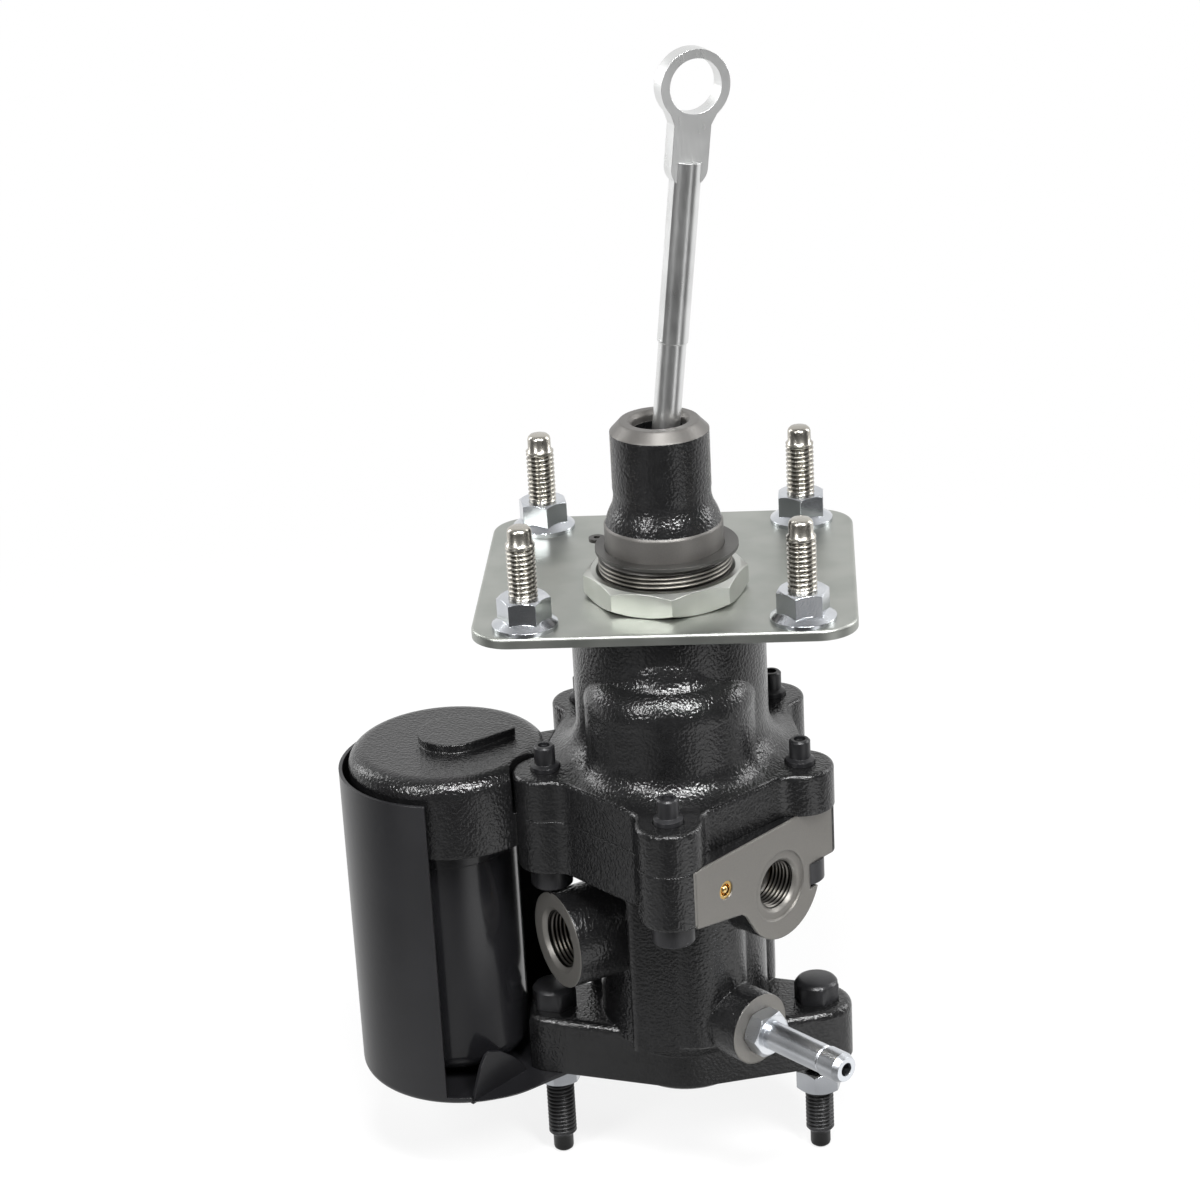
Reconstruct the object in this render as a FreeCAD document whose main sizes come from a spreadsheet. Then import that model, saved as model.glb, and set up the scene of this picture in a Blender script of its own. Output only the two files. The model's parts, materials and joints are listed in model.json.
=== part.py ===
import FreeCAD, Part
import Sketcher
import math
import os
import re

from FreeCAD import Placement, Rotation, Vector

doc = FreeCAD.newDocument("brake_booster")
sheet = doc.addObject("Spreadsheet::Sheet", "Sizes")

# Driving sizes in millimetres and degrees. Every depth is measured down from the firewall plate's top face.
SIZES = [
    ("axis_setback", 17.4, "main axis, in front of the centre of the firewall studs"),
    ("run_gap", 0.06, "radial running clearance of a sliding fit"),
    ("seat_gap", 0.1, "radial clearance of a seated piece"),
    ("stud_pitch", 88.9, "square of the firewall studs"),
    ("stud_radius", 4.76, "firewall stud thread"),
    ("stud_rise", 34.2, "firewall stud tip above the plate"),
    ("stud_neck", 5.4, "neck of the firewall studs in the plate"),
    ("thread_core", 0.6, "depth of a thread where its nut holds it"),
    ("stud_dog", 5.2, "plain lead at the stud's tip"),
    ("stud_dog_radius", 3.95, "radius of that lead"),
    ("stud_head_radius", 8.2, "domed stud head under the plate"),
    ("stud_head", 2.7, "height of the domed head"),
    ("plate_width", 124, "firewall plate, side to side"),
    ("plate_depth", 110.6, "firewall plate, front to back"),
    ("plate_thick", 3.5, "firewall plate"),
    ("plate_corner", 13, "corner radius of the plate"),
    ("flange_nut_radius", 10.7, "flange of the firewall nuts"),
    ("flange_nut_height", 10.4, "firewall nuts"),
    ("flange_nut_across", 15.2, "firewall nuts, across flats"),
    ("collar_across", 50, "octagonal mounting nut, across flats"),
    ("collar_height", 8.6, "octagonal mounting nut"),
    ("snout_thread", 21.3, "radius of the snout's thread"),
    ("snout_height", 59.1, "snout's top face above the plate"),
    ("snout_top", 16.1, "outer radius of the snout at its top"),
    ("snout_foot", 18.9, "outer radius of the snout above the band"),
    ("snout_bore", 8.9, "bore of the snout"),
    ("band_radius", 19.4, "machined band under the snout"),
    ("band_top", 24.8, "top of that band"),
    ("band_base", 16.6, "foot of that band"),
    ("clip_radius", 23.4, "outer radius of the retaining clip"),
    ("clip_thick", 1.2, "retaining clip"),
    ("neck_radius", 32, "cover's neck under the plate"),
    ("dome_radius", 28, "dome over the valve lever"),
    ("dome_offset", 13.4, "dome's axis in front of the main axis"),
    ("dome_top", 5, "depth of the dome's top"),
    ("dome_shoulder", 31, "depth of the dome's shoulder"),
    ("flange_top", 56, "depth of the cover flange's top"),
    ("parting", 70.5, "depth of the joint between cover and housing"),
    ("flange_base", 90.2, "depth of the housing flange's underside"),
    ("lobe_radius", 11, "bolt lobes of the flange"),
    ("front_bolt", 57.3, "front bolt, in front of the main axis"),
    ("side_bolt_x", 42, "side bolts, off the middle plane"),
    ("side_bolt", 15.1, "side bolts, in front of the main axis"),
    ("rear_bolt_x", 32.5, "rear bolts, off the middle plane"),
    ("rear_bolt", 41.4, "rear bolts, behind the main axis"),
    ("bolt_radius", 4.8, "cover bolts' thread"),
    ("bolt_tip", 47.5, "depth of the bolts' tips"),
    ("bolt_lead", 7, "plain lead at the bolts' tips"),
    ("bolt_head_radius", 7, "cover bolts' heads"),
    ("bolt_head", 8, "height of those heads"),
    ("face_depth", 173, "depth of the face that the master cylinder meets"),
    ("pilot_height", 3.3, "pilot below that face"),
    ("pilot_radius", 20.5, "pilot that centres the master cylinder"),
    ("barrel_radius", 28.5, "power barrel"),
    ("column_half", 18.6, "half width of the valve column"),
    ("column_front", 40.6, "front of the valve column, in front of the main axis"),
    ("column_base", 149, "depth of the valve column's foot"),
    ("column_corner", 8, "corner radius of the valve column"),
    ("ear_pitch", 90.4, "master cylinder studs, centre to centre"),
    ("ear_thick", 20.7, "mounting ears"),
    ("ear_radius", 12, "rounded ends of the ears"),
    ("ear_end", 53.8, "flat end of the left ear, which clears the accumulator"),
    ("ear_root", 24, "half width of the ear plate at the barrel"),
    ("mc_stud_radius", 5.5, "shanks of the master cylinder studs"),
    ("mc_thread", 4.9, "free thread of those studs"),
    ("mc_stud_tip", 210.6, "depth of those studs' tips"),
    ("mc_head_radius", 7.4, "heads of those studs"),
    ("mc_head", 7.8, "height of those heads"),
    ("mc_nut_across", 14.4, "master cylinder nuts, across flats"),
    ("mc_nut", 7.6, "height of the master cylinder nuts"),
    ("loose_nut_drop", 6.4, "gap between the right ear and its slack nut"),
    ("port_radius", 16.5, "left port boss"),
    ("port_thread", 10, "left port's threaded bore"),
    ("port_depth", 17, "depth of both ports"),
    ("port_thread_depth", 11.2, "depth of their threads"),
    ("port_step", 0.8, "step below the thread, radial"),
    ("port_reach", 47.5, "left port's face from the main axis"),
    ("port_level", 114.8, "depth of the left port's axis"),
    ("port_angle", 211.5, "direction that the left port faces"),
    ("pad_angle", -40, "direction that the right pad faces"),
    ("pad_reach", 48, "right pad's face from the main axis"),
    ("pad_port_along", -3.6, "right port's axis along the pad, from the main axis"),
    ("pad_port_level", 91.8, "depth of the right port's axis"),
    ("pad_lobe_along", 2.1, "lobe's centre beside the right port"),
    ("pad_lobe_drop", 1.2, "lobe's centre below the right port"),
    ("pad_lobe", 18, "round lobe of the pad about its port"),
    ("pad_thread", 8.25, "right port's threaded bore"),
    ("pad_spot", 12, "spot face round the right port"),
    ("plug_radius", 3.2, "small brass plug in the pad"),
    ("return_radius", 12.2, "return port boss"),
    ("return_reach", 47.1, "return boss's face from the main axis"),
    ("return_along", -11, "return port's axis along its face, from the main axis"),
    ("return_level", 141.1, "depth of the return port's axis"),
    ("return_angle", -44, "direction that the return port faces"),
    ("return_tube", 4.75, "return fitting's tube"),
    ("return_bore", 2.3, "bore of the return fitting"),
    ("return_length", 39, "return fitting, from the boss's face"),
    ("cap_radius", 33.8, "cap over the accumulator"),
    ("cap_top", 54.8, "depth of the cap's top"),
    ("cap_base", 82.5, "depth of the cap's rim"),
    ("cap_x", 76.5, "cap's and heat shield's axis, to the left"),
    ("can_x", 80.2, "accumulator's axis, to the left"),
    ("can_setback", 12, "accumulator's axis, in front of the studs' centre"),
    ("can_radius", 25.2, "accumulator can"),
    ("can_bore", 21.6, "bore of the can"),
    ("can_ring", 7.6, "height of the can's crimp ring"),
    ("can_lift", 3.8, "can's bottom above the face of the master cylinder"),
    ("shield_radius", 37.2, "heat shield"),
    ("shield_sheet", 1.2, "heat shield's sheet"),
    ("shield_top", 61.5, "depth of the heat shield's rim"),
    ("piston_radius", 16, "bore of the power piston"),
    ("piston_top", 94, "depth of the power piston's crown"),
    ("piston_length", 43, "power piston"),
    ("piston_cup", 12, "bore of the piston's spring cup"),
    ("piston_cup_depth", 33, "depth of that cup"),
    ("pedal_gap", 1.6, "gap between the input plunger and the piston's bracket"),
    ("chamber_radius", 22, "pressure chamber about the main axis"),
    ("chamber_top", 14, "depth of the chamber's roof"),
    ("lever_pin", 58, "depth of the lever's pin at rest"),
    ("lever_level", 74, "depth of the lever's tip at rest"),
    ("lever_thick", 6, "valve lever"),
    ("spool_offset", 31.6, "spool valve's axis in front of the main axis"),
    ("spool_radius", 5.5, "bore of the spool valve"),
    ("spool_top", 86, "depth of the spool's upper land"),
    ("spool_length", 42, "spool between its ends"),
    ("lever_pin_radius", 2.5, "lever's pin"),
    ("seal_offset", 9.6, "centre of the cover seal in front of the main axis"),
    ("seal_radius", 34, "mean radius of the cover seal"),
    ("seal_half", 1.4, "half width of the cover seal"),
    ("seal_depth", 1.9, "height of the cover seal"),
    ("spring_drop", 0.3, "return spring's lower end below the face of the master cylinder"),
    ("retainer_thick", 1.7, "washer under the return spring"),
    ("output_radius", 5, "output rod"),
    ("output_inset", 3, "output rod's tip above that face"),
    ("spool_plug_top", 141.2, "depth of the spool plug's top"),
    ("spool_plug_length", 4.8, "spool plug"),
    ("counterbore", 7, "counterbore of the spool plug"),
    ("can_neck", 23.9, "neck of the can inside the ring"),
    ("can_floor", 4, "floor of the can"),
    ("can_round", 7, "rounding of the can's bottom"),
    ("gas_plug_radius", 6, "gas plug's spigot"),
    ("accumulator_piston_top", 90, "depth of the accumulator piston's crown"),
    ("accumulator_piston_length", 22, "accumulator piston"),
    ("ball_level", 37, "pedal rod's ball above the plate"),
    ("ball_radius", 6.2, "pedal rod's ball"),
    ("rod_radius", 4.5, "lower shank of the pedal rod"),
    ("rod_upper", 5, "upper shank of the pedal rod"),
    ("rod_step", 47.5, "step of the shank, from the ball"),
    ("rod_tongue", 100, "foot of the tongue, from the ball"),
    ("rod_length", 129.8, "eye's centre, from the ball"),
    ("eye_radius", 11.6, "eye of the pedal rod"),
    ("eye_bore", 8.7, "hole of the eye"),
    ("eye_thick", 6, "tongue and eye"),
    ("rod_lean_side", 6.55, "rod's lean to the right"),
    ("rod_lean_back", 2, "rod's lean to the back"),
    ("eye_turn", 25, "turn of the eye about the rod"),
]

for line, (alias, value, meaning) in enumerate(SIZES, start=1):
    sheet.set(f"A{line}", meaning)
    sheet.set(f"B{line}", str(value))
    sheet.setAlias(f"B{line}", alias)
doc.recompute()

ALIASES = {alias for alias, value, meaning in SIZES}


def bound(text):
    """Text of an expression, with each size's name pointed at the sheet."""
    return re.sub(r"[a-z_]+", lambda word: f"Sizes.{word[0]}" if word[0] in ALIASES else word[0], text)


def size(text):
    """Value of an expression on the sheet's sizes."""
    return float(sheet.evalExpression(bound(text)))


def place_expressions(piece, x="0", y="0", z="0"):
    """Ties the place of a piece to the sheet."""
    for axis, text in (("x", x), ("y", y), ("z", z)):
        piece.setExpression(f"Placement.Base.{axis}", bound(text))


def outline(body, role, corners, name="outline"):
    """A closed outline of straight sides in one of the body's planes, each corner tied to the sheet."""
    sketch = body.newObject("Sketcher::SketchObject", f"{body.Name}_{name}")
    plane = next(item for item in body.Origin.OriginFeatures if item.Role == role)
    sketch.AttachmentSupport = (plane, [""])
    sketch.MapMode = "FlatFace"
    points = [Vector(size(x), size(y), 0) for x, y in corners]
    count = len(points)
    for index in range(count):
        sketch.addGeometry(Part.LineSegment(points[index], points[(index + 1) % count]), False)
    for index in range(count):
        sketch.addConstraint(Sketcher.Constraint("Coincident", index, 2, (index + 1) % count, 1))
    for index, pair in enumerate(corners):
        for kind, axis, text, value in (("DistanceX", -2, pair[0], points[index].x),
                                        ("DistanceY", -1, pair[1], points[index].y)):
            if text == "0":
                sketch.addConstraint(Sketcher.Constraint("PointOnObject", index, 1, axis))
                continue
            if value < 0:
                row = sketch.addConstraint(Sketcher.Constraint(kind, index, 1, -1, 1, -value))
                sketch.setExpression(f"Constraints[{row}]", bound(f"0 - ({text})"))
            else:
                row = sketch.addConstraint(Sketcher.Constraint(kind, -1, 1, index, 1, value))
                sketch.setExpression(f"Constraints[{row}]", bound(text))
    return sketch


def turned(label, corners, x="0", y="0", z="0"):
    """A turned piece: a half section of radius and height, swung round the upright axis."""
    body = doc.addObject("PartDesign::Body", label)
    body.Label = label
    sketch = outline(body, "XZ_Plane", corners)
    turn = body.newObject("PartDesign::Revolution", f"{label}_turn")
    turn.Profile = sketch
    turn.ReferenceAxis = (sketch, ["V_Axis"])
    turn.Angle = 360
    place_expressions(body, x, y, z)
    return body


def keep(label, shape):
    """A sub-part whose form is worked out by the functions below."""
    piece = doc.addObject("Part::Feature", label)
    piece.Label = label
    piece.Shape = shape
    return piece


def cylinder(radius, low, high, x=0.0, y=0.0):
    """An upright cylinder between two heights."""
    return Part.makeCylinder(radius, high - low, Vector(x, y, low))


def box(x_low, x_high, y_low, y_high, z_low, z_high):
    """A box between two corners."""
    corner = Vector(x_low, y_low, z_low)
    return Part.makeBox(x_high - x_low, y_high - y_low, z_high - z_low, corner)


def spun(points, x=0.0, y=0.0):
    """A turned solid of (radius, height) points; a third number ends an arc that swells to the right of its way."""
    edges = []
    vectors = [Vector(point[0], 0, point[1]) for point in points]
    for index, start in enumerate(vectors):
        target = (index + 1) % len(points)
        end = vectors[target]
        if start.isEqual(end, 1e-7):
            continue
        if len(points[target]) == 3:
            middle = (start + end) * 0.5
            across = Vector(end.z - start.z, 0, start.x - end.x)
            edges.append(Part.Arc(start, middle + across * points[target][2], end).toShape())
        else:
            edges.append(Part.makeLine(start, end))
    solid = Part.Face(Part.Wire(edges)).revolve(Vector(0, 0, 0), Vector(0, 0, 1), 360)
    solid.translate(Vector(x, y, 0))
    return solid


def wrapped(circles, blend=0.0):
    """Flat outline of a loop of circles: a string round them, with hollow corners of radius blend."""
    centres = [Vector(x, y, 0) for x, y, radius in circles]
    slab = cylinder(circles[0][2], 0, 1, circles[0][0], circles[0][1])
    if len(circles) > 2:
        slab = slab.fuse(Part.Face(Part.makePolygon(centres + centres[:1])).extrude(Vector(0, 0, 1)))
    for index, (x, y, radius) in enumerate(circles):
        other = circles[(index + 1) % len(circles)]
        along = centres[(index + 1) % len(circles)] - centres[index]
        turn = math.atan2(along.y, along.x) - math.acos((radius - other[2]) / along.Length)
        side = Vector(math.cos(turn), math.sin(turn), 0)
        corners = [centres[index], centres[index] + side * radius,
                   centres[(index + 1) % len(circles)] + side * other[2], centres[(index + 1) % len(circles)]]
        strip = Part.Face(Part.makePolygon(corners + corners[:1])).extrude(Vector(0, 0, 1))
        slab = slab.fuse([strip, cylinder(radius, 0, 1, x, y)])
    slab = slab.removeSplitter()
    face = next(item for item in slab.Faces if item.BoundBox.ZMax < 0.5)
    return face


def upright(face, low, high):
    """A flat outline raised between two heights."""
    raised = face.copy()
    raised.translate(Vector(0, 0, low))
    return raised.extrude(Vector(0, 0, high - low))


def softened(solid, radius, wanted):
    """Rounds the edges that the test picks."""
    edges = [edge for edge in solid.Edges if wanted(edge)]
    return solid.makeFillet(radius, edges) if edges else solid


def hexagon(across, low, high, x=0.0, y=0.0, sides=6, turn=0.0):
    """A prism of nut form with its corners taken off by a cone at the top and the foot."""
    corner = across / 2 / math.cos(math.pi / sides)
    points = [Vector(x + corner * math.cos(2 * math.pi * k / sides + turn),
                     y + corner * math.sin(2 * math.pi * k / sides + turn), low) for k in range(sides + 1)]
    prism = Part.Face(Part.makePolygon(points)).extrude(Vector(0, 0, high - low))
    rim = across / 2 * 0.98
    drop = (corner - rim) * 0.6
    cone = spun([(0, low), (rim, low), (corner, low + drop), (corner, high - drop), (rim, high), (0, high)], x, y)
    return prism.common(cone)


def faced(angle, reach, level, along=0.0):
    """Place on a face beside the main axis: Z outwards, Y upwards, X along the face."""
    turn = math.radians(angle)
    out = Vector(math.cos(turn), math.sin(turn), 0)
    across = Vector(-math.sin(turn), math.cos(turn), 0)
    centre = Vector(0, AXIS_Y, -level) + out * reach + across * along
    return Placement(centre, Rotation(across, Vector(0, 0, 1), out, "ZXY"))


AXIS_Y = -size("axis_setback")
CAN = (-size("can_x"), -size("can_setback"))
CAP = (-size("cap_x"), -size("can_setback"))
BOLTS = [(-size("side_bolt_x"), AXIS_Y - size("side_bolt")),
         (0.0, AXIS_Y - size("front_bolt")),
         (size("side_bolt_x"), AXIS_Y - size("side_bolt")),
         (size("rear_bolt_x"), AXIS_Y + size("rear_bolt")),
         (-size("rear_bolt_x"), AXIS_Y + size("rear_bolt"))]
EARS = [(-size("ear_pitch") / 2, AXIS_Y), (size("ear_pitch") / 2, AXIS_Y)]
NUT_TOPS = (-size("face_depth + shield_sheet"), -size("face_depth + loose_nut_drop"))
STUDS = [(x * size("stud_pitch") / 2, y * size("stud_pitch") / 2) for x, y in ((-1, -1), (1, -1), (1, 1), (-1, 1))]
SPOOL_Y = AXIS_Y - size("spool_offset")
LEVER_SLOT = size("lever_thick") / 2 + 1.6
FLANGE_INSET = 7.5
BOLT_HOLE = size("bolt_radius") + 0.4
LEFT_PORT = faced(size("port_angle"), size("port_reach"), size("port_level"))
PAD = faced(size("pad_angle"), size("pad_reach"), size("pad_port_level"), size("pad_port_along"))
RETURN_PORT = faced(size("return_angle"), size("return_reach"), size("return_level"), size("return_along"))
PLUG_PLACE = Vector(-26.6, 9.4, 0)


def at(place, solid):
    """A solid made about the Z axis, moved to a place."""
    moved = solid.copy()
    moved.Placement = place.multiply(moved.Placement)
    return moved


def flange_face():
    """Flange outline: a five-sided web with a round lobe at each bolt."""
    lobe = size("lobe_radius")
    web = wrapped([(x, y, lobe - FLANGE_INSET) for x, y in BOLTS])
    slab = upright(web, 0, 1)
    for x, y in BOLTS:
        slab = slab.fuse(cylinder(lobe, 0, 1, x, y))
    slab = slab.removeSplitter()
    face = next(item for item in slab.Faces if item.BoundBox.ZMax < 0.5)
    blend = 7
    closed = Part.Face(face.OuterWire).makeOffset2D(blend).makeOffset2D(-blend)
    return closed if closed.ShapeType == "Face" else closed.Faces[0]


def make_cover():
    """Cover: snout, threaded collar, neck, lever dome and bolted flange in one casting."""
    neck = size("neck_radius")
    thick = size("plate_thick")
    flange_top = size("flange_top")
    flare = 13
    outer = spun([(0, -thick), (neck - 1.5, -thick), (neck, -thick - 1.5, -0.2), (neck, -flange_top + flare),
                  (neck + flare, -flange_top, 0.207), (0, -flange_top)], 0, AXIS_Y)
    dome_y = AXIS_Y - size("dome_offset")
    radius = size("dome_radius")
    top = -size("dome_top")
    shoulder = -size("dome_shoulder")
    foot = 9
    dome = spun([(0, top), (radius * 0.3, top), (radius * 0.72, (top + shoulder) / 2 + 0.5, -0.14),
                 (radius * 0.8, (top + shoulder) / 2 - 3.5, 0.08), (radius, shoulder - 2, -0.16),
                 (radius, -flange_top + foot), (radius + foot, -flange_top, 0.207), (0, -flange_top)], 0, dome_y)
    web = flange_face()
    body = outer.fuse(dome).common(upright(web, -flange_top - 1, 0))
    flange = softened(upright(web, -size("parting"), -flange_top), 1.6,
                      lambda edge: edge.BoundBox.ZMin > -flange_top - 0.01)
    snout = spun([(0, -thick), (size("snout_thread"), -thick), (size("snout_thread"), size("band_base") - 3.2),
                  (size("band_radius"), size("band_base") - 1.3), (size("band_radius"), size("band_top") - 0.5),
                  (size("snout_foot"), size("band_top")), (size("snout_foot") - 1.5, size("band_top") + 4.5, 0.04),
                  (size("snout_top"), size("band_top") + 12, -0.09),
                  (size("snout_top"), size("snout_height") - 3.4), (size("snout_top") - 3.2, size("snout_height")),
                  (0, size("snout_height"))], 0, AXIS_Y)
    cover = snout.fuse([body, flange])
    roof = -size("chamber_top")
    parting = -size("parting")
    room = spun([(0, roof), (size("chamber_radius") - 6, roof), (size("chamber_radius"), roof - 6, -0.207),
                 (size("chamber_radius"), parting - 1), (0, parting - 1)], 0, AXIS_Y)
    lever_room = spun([(0, roof - 8), (radius - 16, roof - 8), (radius - 8, shoulder - 2, -0.12),
                       (radius - 8, parting - 1), (0, parting - 1)], 0, dome_y)
    yoke_room = cylinder(9, parting - 1, -size("lever_level") + 12.5, 0, SPOOL_Y)
    seal_room = cylinder(10, roof - 1, roof + 5.5, 0, AXIS_Y)
    guide = cylinder(6 + size("run_gap"), roof, 0, 0, AXIS_Y)
    bore = cylinder(size("snout_bore"), -6.5, size("snout_height") + 1, 0, AXIS_Y)
    mouth = spun([(0, size("snout_height") - 1.2), (size("snout_bore"), size("snout_height") - 1.2),
                  (size("snout_bore") + 1.3, size("snout_height") + 0.1), (0, size("snout_height") + 0.1)],
                 0, AXIS_Y)
    holes = [cylinder(size("bolt_radius") + size("seat_gap"), parting - 1, -flange_top + 5, x, y) for x, y in BOLTS]
    return cover.cut([room, lever_room, yoke_room, seal_room, guide, bore, mouth] + holes).removeSplitter()


def pad_block():
    """Block behind the right machined pad, in the pad's own place, with a round lobe about the port."""
    top = size("pad_port_level") - size("parting")
    lobe = size("pad_lobe")
    centre = Vector(size("pad_lobe_along"), -size("pad_lobe_drop"), 0)
    points = [(-42.7, top), (-42.7, 2.4), (-21.7, -1.2), (-19.1, -3.1), (-16.8, -7), (0, -lobe + 1), (lobe - 0.3, 0),
              (lobe - 0.3, top - 4), (22.2, top)]
    vectors = [centre + Vector(x, y, 0) for x, y in points[1:-1]]
    vectors = [Vector(points[0][0] + centre.x, top, 0)] + vectors + [Vector(points[-1][0] + centre.x, top, 0)]
    plate = Part.Face(Part.makePolygon(vectors + vectors[:1])).extrude(Vector(0, 0, -24))
    return plate.fuse(Part.makeCylinder(lobe, 34, centre - Vector(0, 0, 34)))


def arm_solid():
    """Arm and round cap that carry the accumulator, clear of the cover's flange."""
    cap = size("cap_radius")
    top = -size("cap_top")
    circles = [(CAP[0], CAP[1], cap - 9), (-24, AXIS_Y + 24, 10), (-34, AXIS_Y - 6, 8)]
    arm = upright(wrapped(circles), -size("cap_base") + 3, top - 2.2)
    arm = softened(arm, 6, lambda edge: edge.BoundBox.ZMin > top - 2.3 and edge.Length > 20)
    dome = spun([(0, -size("cap_base")), (cap, -size("cap_base")), (cap, top - 6), (cap - 6, top, 0.207), (0, top)],
                CAP[0], CAP[1])
    badge = wrapped([(CAP[0] + 2, CAP[1] + 2, 12), (CAP[0] + 21, CAP[1] + 4, 1.8)])
    clear = Part.Face(flange_face().OuterWire).makeOffset2D(0.9)
    arm = dome.fuse([arm, upright(badge, top - 2, top + 3)])
    return arm.cut(upright(clear, -size("parting"), top + 10))


def make_housing():
    """Housing: flange, power barrel, valve column, ports, ears, arm and accumulator cap in one casting."""
    parting = -size("parting")
    flange_base = -size("flange_base")
    face = -size("face_depth")
    flange = upright(flange_face(), flange_base, parting)
    flange = softened(flange, 1.2, lambda edge: edge.BoundBox.ZMax < flange_base + 0.01)
    pilot = face - size("pilot_height")
    wide = size("barrel_radius")
    nose = size("pilot_radius")
    barrel = spun([(0, flange_base), (wide, flange_base), (wide, face + 17), (nose + 1, face + 9), (nose + 1, face),
                   (nose - 0.5, face), (nose - 0.5, face - 0.8), (nose, face - 0.8), (nose, pilot + 1),
                   (nose - 1, pilot), (0, pilot)], 0, AXIS_Y)
    half = size("column_half")
    front = AXIS_Y - size("column_front")
    foot = -size("column_base")
    rib = box(-half + 2.4, 1.5, front, AXIS_Y, foot, flange_base)
    rib = softened(rib, 2.4, lambda edge: edge.BoundBox.ZLength > 20 and edge.BoundBox.YMax < front + 1)
    round_y = front + half - 1.6
    tower = spun([(0, foot), (half - 3, foot), (half - 1, foot + 2, 0.207), (half - 1, flange_base),
                  (0, flange_base)], 4.6, round_y)
    web = box(-half + 4, 4.6 + half - 1, round_y, AXIS_Y, foot, flange_base)
    column = rib.fuse([tower, web])
    block = box(-34, 31, -9, 20, -size("face_depth") + size("ear_thick") - 1, flange_base)
    block = softened(block, 9, lambda edge: edge.BoundBox.ZLength > 20)
    ear_top = face + size("ear_thick")
    ears = wrapped([(EARS[0][0], AXIS_Y, size("ear_radius")), (0, AXIS_Y - 0.01, size("ear_root")),
                    (EARS[1][0], AXIS_Y, size("ear_radius")), (0, AXIS_Y + 0.01, size("ear_root"))])
    ears = upright(ears, face, ear_top).cut(box(-80, -size("ear_end"), -60, 30, face - 1, ear_top + 1))
    ears = softened(ears, 3, lambda edge: edge.BoundBox.ZMin > ear_top - 0.01)
    left_boss = at(LEFT_PORT, Part.makeCylinder(size("port_radius"), 30, Vector(0, 0, -30)))
    boss = size("return_radius")
    return_boss = at(RETURN_PORT, spun([(0, 0), (boss, 0), (boss, -9), (boss + 2.6, -21, 0.08), (boss - 4, -30, 0.2),
                                        (0, -30)]))
    bolt_flat = box(-40, 40, -20.5, size("pad_port_level - parting") + 0.01, 0, 20)
    casting = flange.fuse([barrel, column, block, ears, left_boss, return_boss, at(PAD, pad_block()), arm_solid()])
    return casting.cut(housing_rooms() + [at(PAD, bolt_flat)]).removeSplitter()


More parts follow.
